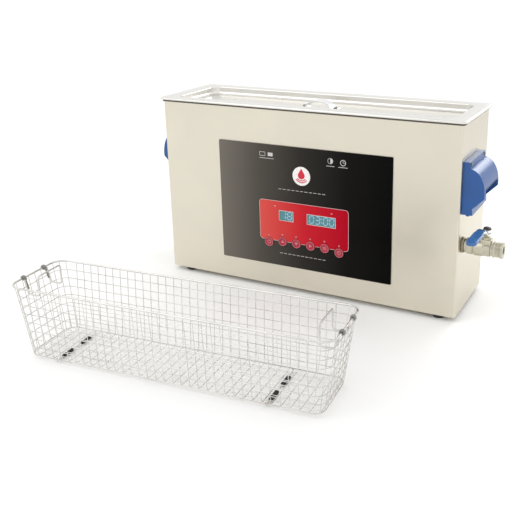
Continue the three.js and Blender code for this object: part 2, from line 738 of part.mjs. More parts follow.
function drainElbow() {
  const ring = disc(PIPE_OUTER);
  ring.holes.push(disc(PIPE_BORE));
  const corners = [
    new THREE.Vector3(DRAIN_X, VALVE_DEPTH, TANK_FLOOR - SHEET - GAP),
    new THREE.Vector3(DRAIN_X, VALVE_DEPTH, VALVE_HEIGHT),
    new THREE.Vector3(HALF_LENGTH + 13, VALVE_DEPTH, VALVE_HEIGHT),
  ];
  const path = bentLine(corners, 18);
  const options = { extrudePath: path, steps: 10, curveSegments: 4, bevelEnabled: false };
  return new THREE.ExtrudeGeometry(ring, options);
}

function wallFlange() {
  const inner = PIPE_OUTER + GAP;
  const low = HALF_LENGTH + GAP;
  const outer = 12.4;
  const profile = [
    [low, inner], [low, outer], [low + 2.5, outer], [low + 4, outer - 1], [low + 4, inner], [low, inner],
  ];
  return turnedAboutX(profile).translate(0, VALVE_DEPTH, VALVE_HEIGHT);
}

// A barrel with a boss for the stem, bored through and hollowed for the ball.
function valveBody() {
  const start = HALF_LENGTH + 4 + 2 * GAP;
  const neck = OUTLET_START - 3;
  const barrelRadius = 13.4;
  const profile = [
    [start, 0], [start, 11.5], [279, 11.5], [284, barrelRadius], [neck, barrelRadius], [neck, 10.5],
    [OUTLET_START, 10.5], [OUTLET_START, 0],
  ];
  const barrel = turnedAboutX(profile);
  const boss = rod(7.5, 12, [BALL_X, 0, 12], ALONG_Z);
  const socket = rod(PIPE_OUTER + GAP, 10, [HALF_LENGTH + 9, 0, 0], ALONG_X);
  const bore = rod(PIPE_BORE, 60, [BALL_X - 6, 0, 0], ALONG_X);
  const chamber = new THREE.SphereGeometry(BALL_CHAMBER, 16, 10).translate(BALL_X, 0, 0);
  const stemHole = rod(STEM_RADIUS + 0.4, 20, [BALL_X, 0, 14], ALONG_Z);
  return cut(join(barrel, boss), socket, bore, chamber, stemHole).translate(0, VALVE_DEPTH, VALVE_HEIGHT);
}

function valveBall() {
  const ball = new THREE.SphereGeometry(BALL_RADIUS, 16, 10);
  return cut(ball, rod(PIPE_BORE - 0.5, 30, [0, 0, 0], ALONG_Y, 16));
}

function valveStem() {
  const low = BALL_CHAMBER;
  const high = LEVER_RISE + 7;
  return rod(STEM_RADIUS, high - low, [0, 0, (high + low) / 2], ALONG_Z, 16);
}

// The lever seen from above: a round hub, a narrow neck and a wider blade.
function leverPlan() {
  const hub = 8.5;
  const neck = 4.5;
  const blade = 6.8;
  const outline = new THREE.Shape();
  outline.absarc(0, 0, hub, THREE.MathUtils.degToRad(-35), THREE.MathUtils.degToRad(215), false);
  outline.lineTo(-neck, -16);
  outline.lineTo(-neck, -30);
  outline.lineTo(-blade, -38);
  outline.absarc(0, -LEVER_LENGTH + blade, blade, Math.PI, Math.PI * 2, false);
  outline.lineTo(blade, -38);
  outline.lineTo(neck, -30);
  outline.lineTo(neck, -16);
  outline.closePath();
  outline.holes.push(disc(STEM_RADIUS + GAP));
  return outline;
}

// The lever's strip seen from its side, with Y along it and Z up, cranked upwards beyond the hub.
function leverSide() {
  const line = [[12, 0], [-11, 0], [-33, LEVER_CRANK], [-LEVER_LENGTH - 1, LEVER_CRANK]];
  const underside = line.map(([y, z]) => new THREE.Vector2(y, z));
  const top = line.toReversed().map(([y, z]) => new THREE.Vector2(y, z + LEVER_SHEET));
  return new THREE.Shape([...underside, ...top]);
}

// The lever points to the front while the valve is shut.
function valveLever() {
  const strip = sideways(leverSide(), -10, 10);
  const plan = standing(leverPlan(), -1, LEVER_CRANK + LEVER_SHEET + 1, 6);
  return toGeometry(toSolid(strip).intersect(toSolid(plan))).translate(0, 0, LEVER_RISE);
}

function leverNut() {
  const low = LEVER_RISE + LEVER_SHEET + GAP;
  const hexagon = new THREE.CylinderGeometry(7, 7, 5, 6).rotateX(Math.PI / 2).translate(0, 0, low + 2.5);
  const dome = [[0, 4], [5.8, 4], [5.8, 6], [4, 8], [0, 8.5]];
  const cap = turnedAboutZ(dome, 16).translate(0, 0, low);
  const thread = rod(STEM_RADIUS + GAP, 6, [0, 0, low + 2], ALONG_Z, 16);
  return cut(join(hexagon, cap), thread);
}

function outletSpigot() {
  const low = OUTLET_START + GAP;
  const rim = 12.8;
  const waist = 11.8;
  const profile = [
    [low, PIPE_BORE], [low, rim], [low + 4, rim], [low + 5, waist], [OUTLET_END - 5, waist],
    [OUTLET_END - 4, rim], [OUTLET_END, rim], [OUTLET_END, PIPE_BORE], [low, PIPE_BORE],
  ];
  return turnedAboutX(profile).translate(0, VALVE_DEPTH, VALVE_HEIGHT);
}

function addDrain(group) {
  addPart(group, "drain_elbow", drainElbow(), nickelBrass());
  addPart(group, "wall_flange", wallFlange(), nickelBrass());
  addPart(group, "valve_body", valveBody(), nickelBrass());
  addPart(group, "outlet_spigot", outletSpigot(), nickelBrass());
  const turning = new THREE.Group();
  turning.position.set(BALL_X, VALVE_DEPTH, VALVE_HEIGHT);
  addPart(turning, "valve_ball", valveBall(), brightSteel());
  addPart(turning, "valve_stem", valveStem(), brightSteel());
  addPart(turning, "valve_lever", valveLever(), bluePlastic());
  addPart(turning, "lever_nut", leverNut(), blackPlastic());
  group.add(turning);
}

// Basket, drawn about its own middle with Z up from the bench

function basketRim() {
  const chamfer = 0.8;
  const outline = roundedRectangle(RIM_LENGTH, RIM_WIDTH, RIM_CORNER);
  const innerLength = RIM_LENGTH - 2 * RIM_WIRE;
  outline.holes.push(roundedRectangle(innerLength, RIM_WIDTH - 2 * RIM_WIRE, RIM_CORNER - RIM_WIRE));
  const options = {
    depth: RIM_WIRE - 2 * chamfer,
    curveSegments: 4,
    bevelThickness: chamfer,
    bevelSize: chamfer,
    bevelOffset: -chamfer,
    bevelSegments: 1,
  };
  return new THREE.ExtrudeGeometry(outline, options).translate(0, 0, BASKET_HEIGHT - RIM_WIRE + chamfer);
}

// A flat grid of bars, centred, lying in the XY plane from z = 0 up.
function grid(width, height, columns, rows) {
  const stepX = (width - MESH_WIRE) / columns;
  const stepY = (height - MESH_WIRE) / rows;
  const holes = [];
  for (let column = 0; column < columns; column += 1) {
    for (let row = 0; row < rows; row += 1) {
      const x = -width / 2 + MESH_WIRE + column * stepX;
      const y = -height / 2 + MESH_WIRE + row * stepY;
      holes.push(block(x, x + stepX - MESH_WIRE, y, y + stepY - MESH_WIRE, -1, MESH_WIRE + 1));
    }
  }
  return cut(block(-width / 2, width / 2, -height / 2, height / 2, 0, MESH_WIRE), ...holes);
}

// One leaning wall of the basket, facing -Y, then turned about Z to its own side.
function basketWall(width, reachTop, reachBottom, columns, turn) {
  const top = BASKET_HEIGHT - WALL_DROP;
  const rise = top - BASKET_FLOOR - MESH_WIRE;
  const lean = Math.atan2(reachTop - reachBottom, rise);
  const wall = grid(width, rise / Math.cos(lean), columns, 3).rotateX(Math.PI / 2 + lean);
  wall.translate(0, -(reachTop + reachBottom) / 2, top - rise / 2);
  return wall.rotateZ(turn);
}

function crossWire() {
  const reach = FLOOR_WIDTH / 2 - 2.1;
  const corners = [
    new THREE.Vector3(0, -reach, BASKET_FLOOR + 1),
    new THREE.Vector3(0, -reach, SLEEVE_RADIUS),
    new THREE.Vector3(0, reach, SLEEVE_RADIUS),
    new THREE.Vector3(0, reach, BASKET_FLOOR + 1),
  ];
  const options = { extrudePath: bentLine(corners, 2), steps: 24, curveSegments: 3, bevelEnabled: false };
  return new THREE.ExtrudeGeometry(disc(CROSS_WIRE), options);
}

function sleeve() {
  const ring = disc(SLEEVE_RADIUS);
  ring.holes.push(disc(CROSS_WIRE + GAP));
  const half = SLEEVE_LENGTH / 2;
  return facing(ring, -half, half, 4).translate(0, 0, SLEEVE_RADIUS);
}

// A bent wire loop that hooks over the tank's edge when it is swung out, hinged on the rim at X = Z = 0.
function basketHandle() {
  const y = HANDLE_SPREAD;
  const reach = HANDLE_SPREAD - 0.01;
  const half = [[-3.4, -1], [-9, -23], [-28.5, -23], [-28.5, 7]];
  const corners = [
    ...half.map(([x, z]) => new THREE.Vector3(x, -y, z)),
    ...half.toReversed().map(([x, z]) => new THREE.Vector3(x, reach, z)),
  ];
  const path = bentLine(corners, 5);
  const options = { extrudePath: path, steps: 32, curveSegments: 3, bevelEnabled: false };
  const loop = new THREE.ExtrudeGeometry(disc(HANDLE_WIRE), options);
  const eyes = [-y, y].map((middle) => {
    const outside = rod(4.3, 7, [0, middle, 0], ALONG_Y, 16);
    return cut(outside, rod(2.15, 8, [0, middle, 0], ALONG_Y, 16));
  });
  return join(loop, ...eyes);
}

function addBasket(group) {
  addPart(group, "basket_rim", basketRim(), brightSteel());
  const longWall = [FLOOR_LENGTH - 24, RIM_WIDTH / 2 - 2.4, FLOOR_WIDTH / 2 - 0.4, 9];
  const endWall = [FLOOR_WIDTH - 24, RIM_LENGTH / 2 - 2.4, FLOOR_LENGTH / 2 - 0.4, 2];
  addPart(group, "basket_mesh_front", basketWall(...longWall, 0), brightSteel());
  addPart(group, "basket_mesh_right", basketWall(...endWall, Math.PI / 2), brightSteel());
  addPart(group, "basket_mesh_back", basketWall(...longWall, Math.PI), brightSteel());
  addPart(group, "basket_mesh_left", basketWall(...endWall, -Math.PI / 2), brightSteel());
  const floor = grid(FLOOR_LENGTH - 8, FLOOR_WIDTH - 8, 9, 2).translate(0, 0, BASKET_FLOOR);
  addPart(group, "basket_mesh_floor", floor, brightSteel());
  for (const [side, x] of [["left", CROSS_WIRE_X[0]], ["right", CROSS_WIRE_X[1]]]) {
    addPart(group, `cross_wire_${side}`, crossWire(), brightSteel()).position.set(x, 0, 0);
    addPart(group, `sleeve_${side}_front`, sleeve(), blackRubber()).position.set(x, -SLEEVE_Y, 0);
    addPart(group, `sleeve_${side}_back`, sleeve(), blackRubber()).position.set(x, SLEEVE_Y, 0);
  }
  const hingeX = (RIM_LENGTH - RIM_WIRE) / 2;
  const hingeZ = BASKET_HEIGHT - RIM_WIRE / 2;
  const right = addPart(group, "basket_handle_right", basketHandle(), brightSteel());
  right.position.set(hingeX, 0, hingeZ);
  const left = addPart(group, "basket_handle_left", basketHandle(), brightSteel());
  left.rotation.z = Math.PI;
  left.position.set(-hingeX, 0, hingeZ);
}

// Assembly

const cleaner = new THREE.Group();
addHousing(cleaner);
addTank(cleaner);
addLid(cleaner);
addControls(cleaner);
addPart(cleaner, "generator_board", generatorBoard(), greenBoard());
addRearFittings(cleaner);
addCarryHandles(cleaner);
addDrain(cleaner);

const basket = new THREE.Group();
addBasket(basket);
basket.position.set(BASKET_X, BASKET_Y, 0);
basket.rotation.z = BASKET_TURN;
cleaner.add(basket);

// The origin is the middle of the set's footprint, on the bench.
cleaner.updateMatrixWorld(true);
const extent = new THREE.Box3().setFromObject(cleaner, true);
const footprint = extent.getCenter(new THREE.Vector3());
cleaner.position.set(-footprint.x, -footprint.y, -extent.min.z);

export default cleaner;
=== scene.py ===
"""The looks of a benchtop ultrasonic cleaner and its wire basket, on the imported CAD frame."""

import json
import math

import bmesh
import bpy
from mathutils import Matrix, Vector

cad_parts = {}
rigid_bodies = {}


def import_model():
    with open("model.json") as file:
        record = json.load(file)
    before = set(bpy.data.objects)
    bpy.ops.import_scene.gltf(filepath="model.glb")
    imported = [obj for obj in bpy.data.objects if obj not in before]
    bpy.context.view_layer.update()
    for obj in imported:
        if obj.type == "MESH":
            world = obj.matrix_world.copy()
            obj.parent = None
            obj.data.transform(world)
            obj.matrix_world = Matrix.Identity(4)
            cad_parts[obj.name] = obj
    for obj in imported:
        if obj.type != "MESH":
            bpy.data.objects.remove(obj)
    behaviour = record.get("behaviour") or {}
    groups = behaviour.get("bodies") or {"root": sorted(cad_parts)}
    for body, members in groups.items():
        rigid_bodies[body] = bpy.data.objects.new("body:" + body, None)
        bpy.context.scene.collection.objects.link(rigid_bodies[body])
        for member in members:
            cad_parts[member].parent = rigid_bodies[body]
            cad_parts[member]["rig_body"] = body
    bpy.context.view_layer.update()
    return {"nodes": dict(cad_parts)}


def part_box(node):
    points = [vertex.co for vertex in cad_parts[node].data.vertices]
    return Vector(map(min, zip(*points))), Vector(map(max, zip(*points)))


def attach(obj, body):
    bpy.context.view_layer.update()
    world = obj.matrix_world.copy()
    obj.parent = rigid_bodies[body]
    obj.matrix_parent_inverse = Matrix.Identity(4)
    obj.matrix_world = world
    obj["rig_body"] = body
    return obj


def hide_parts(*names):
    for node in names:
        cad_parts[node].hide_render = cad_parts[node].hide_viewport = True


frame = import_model()

# Frames. Shapes are drawn in millimetres: the cleaner's from the middle of its front face, at bench
# level, and the basket's from its own middle on the bench.

HOUSING_LOW, HOUSING_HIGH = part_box("housing_wrap")
RIM_LOW, RIM_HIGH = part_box("basket_rim")
SCALE = Matrix.Scale(0.001, 4)
CLEANER = Matrix.Translation(((HOUSING_LOW.x + HOUSING_HIGH.x) / 2, HOUSING_LOW.y, 0)) @ SCALE
BASKET_TURN = math.radians(4.8)
BASKET_MIDDLE = ((RIM_LOW.x + RIM_HIGH.x) / 2, (RIM_LOW.y + RIM_HIGH.y) / 2, 0)
BASKET = Matrix.Translation(BASKET_MIDDLE) @ Matrix.Rotation(BASKET_TURN, 4, "Z") @ SCALE


def cleaner_box(node):
    """A CAD node's lowest and highest corners, in the cleaner's millimetres."""
    return [(corner - CLEANER.translation) * 1000 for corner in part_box(node)]


def cleaner_middle(node):
    """The middle of a CAD node, in the cleaner's millimetres."""
    low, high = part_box(node)
    return ((low + high) / 2 - CLEANER.translation) * 1000


# Sizes in millimetres

LENGTH = (HOUSING_HIGH.x - HOUSING_LOW.x) * 1000
DEPTH = (HOUSING_HIGH.y - HOUSING_LOW.y) * 1000
HOUSING_BOTTOM = HOUSING_LOW.z * 1000
HOUSING_TOP = HOUSING_HIGH.z * 1000
HALF = LENGTH / 2
MID_DEPTH = DEPTH / 2
SHEET = 1.2
GAP = 0.3
FOLD_RADIUS = 2.6
COVER_SCREWS = [(x, z) for x in (-248, -85, 85, 248) for z in (22, 300)]
COVER_SCREWS += [(x, z) for z in (115, 210) for x in (-248, 248)]
FAN_SCREW_REACH = 35.7
BOTTOM_SCREW_X = (-205, 0, 205)
BOTTOM_SCREW_INSET = 12

TANK = {"length": 500, "width": 126, "corner": 20, "floor": 164.8}
FLANGE_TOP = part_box("tank")[1].z * 1000
FLANGE_OVERHANG = 3
FLANGE_CORNER = 5
FLANGE_LIP = 2.8
DRAIN_X = 225

LID_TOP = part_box("lid")[1].z * 1000
LID_OVERHANG = 6
LID_CORNER = 7
LID_SKIRT = 3.6
TRAY = {"length": 494, "width": 120, "corner": 17, "depth": 14}

PANEL_FACE = -1.8
FACEPLATE_FACE = -3.1
KEY_COUNT = 6
KEY_BACK = -0.6  # clear of the housing's front face when a key is pressed in
BADGE_HEIGHT = 208
MARKS_SHIFT = -0.5  # of the badge and the panel's marks from its middle
SIGN_HEIGHT = 239
SIGN_RULE_HEIGHTS = (232, 230.5)  # under the left and the right pair of signs
DASH_HEIGHTS = (182, 68.5)  # above and below the control plate
RULE = 0.8
PLATE_DASH_REACH = 52
PLATE_DASH_RISE = 26

GRIP_SCREW_SEAT = 11.5
GRIP_INSETS = {"side": 6, "low": 7, "high": 4.5}
HOOD = {"reach": 34, "lip": 204, "opening": 216.6}

VALVE_Y, VALVE_Z = 24, 122.5
PIPE_BORE = 6.5
WALL_FLANGE_END = HALF + GAP + 4
VALVE_END = 312.5
BALL_X = 302
OUTLET_END = 328.5

RIM = {"length": 488, "width": 112, "corner": 20, "wire": 3, "height": 113}
RIM_LINE = RIM["height"] - RIM["wire"] / 2
FLOOR = {"length": 450, "width": 94, "height": 6}
WIRE = 0.55
PITCH = 13
CROSS_WIRES, LONG_WIRES = 16, 2  # on each side of the middle one
HOOPS = 8
HANDLE_SPREAD = 24
HANDLE_WIRE = 1.35
HANDLE_HALF = [(-3.3, -1), (-9, -23), (-28.5, -23), (-28.5, 7)]
HOOK = [(-2.9, -0.5), (-4.6, -7), (-7.4, -16)]
HOOK_INSET = 2.6
HOOK_COIL = {"radius": 3.0, "thickness": 1.25, "turns": 1.9, "pitch": 2.7}
SLEEVE = {"half": 11, "bore": 1.5, "ribs": 7}
CORNER_STEPS = 6


# Materials

class Nodes:
    """The node tree of one material, with short calls for the nodes that the finishes share."""

    def __init__(self, name, color, roughness, metallic=0.0):
        self.material = bpy.data.materials.new(name)
        self.material.use_nodes = True
        self.tree = self.material.node_tree
        self.shader = self.tree.nodes["Principled BSDF"]
        self.set({"Base Color": (*color, 1), "Roughness": roughness, "Metallic": metallic})
        self.place = self.add("ShaderNodeTexCoord").outputs["Object"]
        self.height = None

    def add(self, kind):
        return self.tree.nodes.new(kind)

    def link(self, source, target):
        self.tree.links.new(source, target)

    def set(self, values):
        for socket, value in values.items():
            self.shader.inputs[socket].default_value = value

    def noise(self, scale, detail, stretch=(1, 1, 1), distortion=0.0):
        mapping = self.add("ShaderNodeMapping")
        mapping.inputs["Scale"].default_value = stretch
        texture = self.add("ShaderNodeTexNoise")
        texture.inputs["Scale"].default_value = scale
        texture.inputs["Detail"].default_value = detail
        texture.inputs["Distortion"].default_value = distortion
        self.link(self.place, mapping.inputs["Vector"])
        self.link(mapping.outputs["Vector"], texture.inputs["Vector"])
        return texture.outputs["Fac"]

    def spread(self, source, low, high, start=0.3, end=0.7):
        node = self.add("ShaderNodeMapRange")
        node.inputs["From Min"].default_value = start
        node.inputs["From Max"].default_value = end
        node.inputs["To Min"].default_value = low
        node.inputs["To Max"].default_value = high
        self.link(source, node.inputs["Value"])
        return node.outputs["Result"]

    def ramp(self, source, *stops):
        node = self.add("ShaderNodeValToRGB")
        elements = node.color_ramp.elements
        for index, (position, color) in enumerate(stops):
            element = elements[index] if index < 2 else elements.new(position)
            element.position = position
            element.color = (*color, 1)
        self.link(source, node.inputs["Fac"])
        return node.outputs["Color"]

    def color(self, source):
        self.link(source, self.shader.inputs["Base Color"])
        return self

    def roughness(self, source, low, high):
        self.link(self.spread(source, low, high), self.shader.inputs["Roughness"])
        return self

    def bump(self, source, distance, strength):
        node = self.add("ShaderNodeBump")
        node.inputs["Distance"].default_value = distance
        node.inputs["Strength"].default_value = strength
        self.link(source, node.inputs["Height"])
        if self.height:
            self.link(self.height, node.inputs["Normal"])
        self.height = node.outputs["Normal"]
        self.link(self.height, self.shader.inputs["Normal"])
        return self


def mixed(base, amount):
    """A colour made lighter or darker by a factor."""
    return tuple(min(1.0, channel * amount) for channel in base)


def steel(name, color, roughness, grain):
    """Brushed sheet: fine streaks across `grain`, slow smudges and a faint change of tone."""
    n = Nodes(name, color, roughness, 1.0)
    streaks = n.noise(1, 3, grain)
    smudges = n.noise(7, 3, distortion=0.6)
    n.color(n.ramp(smudges, (0.3, mixed(color, 0.955)), (0.55, color), (0.75, mixed(color, 1.04))))
    n.roughness(smudges, roughness - 0.05, roughness + 0.05)
    return n.bump(streaks, 0.00002, 0.35).bump(smudges, 0.0004, 0.12).material


def plain_metal(name, color, roughness, scale=300):
    """Cast or turned metal with a fine even tooth and a few duller patches."""
    n = Nodes(name, color, roughness, 1.0)
    tooth = n.noise(scale, 5)
    patches = n.noise(35, 3)
    n.color(n.ramp(patches, (0.3, mixed(color, 0.82)), (0.6, color), (0.8, mixed(color, 1.1))))
    n.roughness(patches, roughness - 0.08, roughness + 0.1)
    return n.bump(tooth, 0.00005, 0.4).material


def moulded(name, color, roughness, tooth=0.5, coat=0.0, specular=0.5):
    """Moulded plastic: a fine pebbled skin, slow changes of tone and some rubbed patches."""
    n = Nodes(name, color, roughness)
    skin = n.noise(1400, 2)
    patches = n.noise(22, 4)
    n.color(n.ramp(patches, (0.3, mixed(color, 0.88)), (0.55, color), (0.8, mixed(color, 1.12))))
    n.roughness(patches, roughness - 0.06, roughness + 0.08)
    n.set({"Coat Weight": coat, "Coat Roughness": 0.28, "Specular IOR Level": specular})
    return n.bump(skin, 0.00004, tooth).material


def across_sheet(n, left, right):
    """0 at a sheet's left edge and 1 at its right edge, for a painted reflection that runs across
    it.
    """
    axes = n.add("ShaderNodeSeparateXYZ")
    n.link(n.place, axes.inputs["Vector"])
    return n.spread(axes.outputs["X"], 0, 1, left, right)


def gloss_with_painted_reflection(name, painted_reflection_tones, edges, roughness, specular):
    """A glossy sheet whose tone changes in even steps from its left edge to its right: a painted
    reflection.
    """
    n = Nodes(name, painted_reflection_tones[-1], roughness)
    stops = [(i / (len(painted_reflection_tones) - 1), tone) for i, tone in enumerate(painted_reflection_tones)]
    n.color(n.ramp(across_sheet(n, *edges), *stops))
    haze = n.noise(30, 4)
    n.roughness(haze, roughness - 0.04, roughness + 0.05)
    n.set({"Specular IOR Level": specular})
    return n.bump(n.noise(9, 2), 0.0003, 0.1).material


def glowing(name, color, strength):
    """A lit screen behind a slightly uneven window."""
    n = Nodes(name, color, 0.2)
    n.color(n.ramp(n.noise(160, 2), (0.3, mixed(color, 0.85)), (0.7, color)))
    n.set({"Emission Color": (*color, 1), "Emission Strength": strength})
    return n.bump(n.noise(500, 2), 0.00003, 0.2).material


def ink(name, color):
    """A printed mark."""
    n = Nodes(name, color, 0.35)
    n.color(n.ramp(n.noise(900, 3), (0.35, mixed(color, 0.8)), (0.6, color)))
    return n.bump(n.noise(1500, 2), 0.00001, 0.3).material


PANEL_EDGES = [corner.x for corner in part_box("front_panel")]
FACEPLATE_EDGES = [corner.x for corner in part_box("control_faceplate")]
# The black panel runs from grey-brown at its left edge to black at its right: a painted reflection.
PANEL_PAINTED_REFLECTION_TONES = [
    (0.165, 0.148, 0.128), (0.078, 0.070, 0.060), (0.028, 0.025, 0.022), (0.007, 0.0065, 0.006),
    (0.002, 0.002, 0.002),
]
# The red plate runs from coral at its left edge to deep red at its right: a painted reflection.
FACEPLATE_PAINTED_REFLECTION_TONES = [(0.66, 0.088, 0.074), (0.55, 0.016, 0.027), (0.40, 0.001, 0.014)]
HOUSING_STEEL = steel("housing_steel_finish", (0.71, 0.665, 0.565), 0.36, grain=(4, 4, 1500))
BRIGHT_STEEL = steel("bright_steel_finish", (0.76, 0.745, 0.71), 0.3, grain=(4, 1500, 4))
WIRE_STEEL = plain_metal("basket_wire_finish", (0.72, 0.71, 0.68), 0.28)
DARK_STEEL = plain_metal("dark_steel_finish", (0.16, 0.155, 0.15), 0.38)
BRONZE = plain_metal("wall_flange_finish", (0.30, 0.26, 0.19), 0.36)
SCREW_STEEL = plain_metal("screw_finish", (0.30, 0.29, 0.28), 0.35)
NICKEL = plain_metal("nickel_finish", (0.60, 0.57, 0.46), 0.34, scale=160)
CHROME = plain_metal("chrome_finish", (0.86, 0.86, 0.86), 0.12)
ALUMINIUM = plain_metal("aluminium_finish", (0.72, 0.73, 0.75), 0.42)
PANEL_BLACK = gloss_with_painted_reflection("panel_black_painted_reflection", PANEL_PAINTED_REFLECTION_TONES, PANEL_EDGES, 0.14, specular=0.04)
PANEL_RED = gloss_with_painted_reflection("panel_red_painted_reflection", FACEPLATE_PAINTED_REFLECTION_TONES, FACEPLATE_EDGES, 0.2, specular=0.06)
KEY_RED = moulded("key_red", (0.40, 0.010, 0.035), 0.3, tooth=0.3)
LCD = glowing("display_backlight", (0.060, 0.165, 0.185), strength=0.55)
LCD_DIGIT = ink("display_digit", (0.34, 0.57, 0.76))
PALE_INK = ink("pale_ink", (0.62, 0.60, 0.58))
WHITE_INK = ink("white_ink", (0.92, 0.90, 0.88))
RED_INK = ink("red_ink", (0.66, 0.010, 0.040))
KEY_INK = ink("key_ink", (0.56, 0.26, 0.27))
BLUE = moulded("blue_plastic_finish", (0.012, 0.082, 0.290), 0.3, tooth=0.3, coat=1, specular=0)
# Dark navy for the shadow inside the carrying handles' hoods: painted shade.
BLUE_PAINTED_SHADE = moulded("blue_painted_shadow", (0.004, 0.014, 0.035), 0.45)
VINYL = moulded("lever_vinyl", (0.030, 0.135, 0.370), 0.28, tooth=0.3, coat=0.3)
BLACK = moulded("black_plastic_finish", (0.025, 0.025, 0.027), 0.42)
RUBBER = moulded("rubber_finish", (0.020, 0.020, 0.020), 0.7, tooth=0.9)
# The seal's dark grey-brown is partly the rubber's own colour and partly painted shade for the
# shadow gap under the lid's edge.
SEAL_RUBBER_AND_SHADE = moulded("seal_rubber_painted_shade", (0.085, 0.074, 0.056), 0.65, tooth=0.6)
BOARD = moulded("board_finish", (0.02, 0.16, 0.06), 0.4)
SILICONE = moulded("silicone_finish", (0.52, 0.14, 0.05), 0.6)


# Meshes, drawn in millimetres

AXIS_TURN = {
    "X": Matrix.Rotation(math.pi / 2, 4, "Y"),
    "Y": Matrix.Rotation(-math.pi / 2, 4, "X"),
    "Z": Matrix(),
}


def turn_angles(sides):
    """Even steps round one full turn."""
    return [2 * math.pi * k / sides for k in range(sides)]


def polar(radius, angles):
    return [(radius * math.cos(a), radius * math.sin(a)) for a in angles]


class Shape:
    """Vertices and faces of one piece while it is being drawn."""

    def __init__(self):
        self.points = []
        self.faces = []

    def ring(self, points):
        start = len(self.points)
        self.points.extend(Vector(p) for p in points)
        return list(range(start, len(self.points)))

    def bridge(self, one, two, closed=True):
        count = len(one)
        for i in range(count if closed else count - 1):
            j = (i + 1) % count
            self.faces.append((one[i], one[j], two[j], two[i]))

    def cap(self, ring, flip=False):
        self.faces.append(tuple(reversed(ring)) if flip else tuple(ring))

    def wrap(self, rings, closed=True):
        """A form whose last ring meets its first, such as a washer; open rings get capped ends."""
        made = [self.ring(points) for points in rings]
        for one, two in zip(made, made[1:] + made[:1]):
            self.bridge(one, two, closed)
        if not closed:
            self.cap([ring[0] for ring in made], True)
            self.cap([ring[-1] for ring in made])
        return self

    def loft(self, rings):
        made = [self.ring(points) for points in rings]
        for one, two in zip(made, made[1:]):
            self.bridge(one, two)
        self.cap(made[0], True)
        self.cap(made[-1])
        return self

    def tube(self, path, radius, sides, closed=False):
        """A round wire along a path of points."""
        count = len(path)
        rings = []
        side = None
        for i, point in enumerate(path):
            before = path[i - 1] if i or closed else path[i]
            after = path[(i + 1) % count] if i < count - 1 or closed else path[i]
            along = (after - before).normalized()
            if side is None:
                side = along.orthogonal().normalized()
            side = (side - along * side.dot(along)).normalized()
            other = along.cross(side)
            spokes = [math.cos(a) * side + math.sin(a) * other for a in turn_angles(sides)]
            rings.append(self.ring(point + radius * spoke for spoke in spokes))
        for one, two in zip(rings, rings[1:]):
            self.bridge(one, two)
        if closed:
            self.join_ends(rings[-1], rings[0])
        else:
            self.cap(rings[0], True)
            self.cap(rings[-1])
        return self

    def join_ends(self, last, first):
        """Closes a tube on itself at the turn where its ends meet best."""
        count = len(first)
        gaps = [(self.points[last[0]] - self.points[first[k]]).length for k in range(count)]
        turn = gaps.index(min(gaps))
        self.bridge(last, [first[(turn + k) % count] for k in range(count)])

    def lathe(self, profile, place, axis="Z", sides=48):
        """A solid turned from (radius, distance along the axis) pairs."""
        turn, middle, rings = AXIS_TURN[axis], Vector(place), []
        for radius, along in profile:
            flat = polar(radius, turn_angles(sides))
            rings.append([turn @ Vector((x, y, along)) + middle for x, y in flat])
        return self.loft(rings)

    def prism(self, outline, low, high):
        """A flat outline of (x, y) points, standing from one height to another."""
        return self.loft([[(x, y, z) for x, y in outline] for z in (low, high)])


def finish_mesh(mesh):
    """Smooth shading with the sharp edges kept, and faces that point out."""
    work = bmesh.new()
    work.from_mesh(mesh)
    bmesh.ops.recalc_face_normals(work, faces=work.faces)
    work.to_mesh(mesh)
    work.free()
    mesh.shade_smooth()
    mesh.set_sharp_from_angle(angle=math.radians(30))


def piece(name, shape, material, body, replaces=(), where=CLEANER, bevel=0.0):
    """Makes one shown piece that rides on a body. A bevel's width is in millimetres."""
    mesh = bpy.data.meshes.new(name)
    mesh.from_pydata(shape.points, [], shape.faces)
    mesh.transform(where)
    finish_mesh(mesh)
    mesh.materials.append(material)
    thing = bpy.data.objects.new(name, mesh)
    bpy.context.scene.collection.objects.link(thing)
    if bevel:
        soften(thing, bevel)
    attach(thing, body)
    if replaces:
        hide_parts(*replaces)


def soften(thing, width):
    """Rounds a piece's edges by a width in millimetres."""
    modifier = thing.modifiers.new("edges", "BEVEL")
    modifier.width = width / 1000
    modifier.segments = 2
    modifier.limit_method = "ANGLE"
    modifier.angle_limit = math.radians(35)
    modifier.harden_normals = True


def dressed(node, material, bevel):
    """The shape of a CAD node with softened edges, standing in for it."""
    source = frame["nodes"][node]
    mesh = source.data.copy()
    work = bmesh.new()
    work.from_mesh(mesh)
    bmesh.ops.remove_doubles(work, verts=work.verts, dist=1e-6)
    bmesh.ops.dissolve_limit(work, angle_limit=math.radians(1), verts=work.verts, edges=work.edges)
    work.to_mesh(mesh)
    work.free()
    finish_mesh(mesh)
    mesh.materials.clear()
    mesh.materials.append(material)
    thing = bpy.data.objects.new(f"{node}_dressed", mesh)
    bpy.context.scene.collection.objects.link(thing)
    soften(thing, bevel)
    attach(thing, source["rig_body"])
    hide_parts(node)


def paint(material, *nodes):
    """A better material on CAD nodes that are shown as they are."""
    for node in nodes:
        data = frame["nodes"][node].data
        data.materials.clear()
        data.materials.append(material)


def arc(middle, radius, start, end, steps):
    """Points on an arc, from start to end in degrees."""
    angles = [math.radians(start + (end - start) * i / steps) for i in range(steps + 1)]
    return [(middle[0] + radius * math.cos(a), middle[1] + radius * math.sin(a)) for a in angles]


def rounded(length, width, corner, middle=(0, 0), steps=8):
    """A rectangle with rounded corners, as (x, y) points."""
    x, y = length / 2 - corner, width / 2 - corner
    points = []
    for start, sx, sy in ((-90, 1, -1), (0, 1, 1), (90, -1, 1), (180, -1, -1)):
        points += arc((middle[0] + sx * x, middle[1] + sy * y), corner, start, start + 90, steps)
    return points


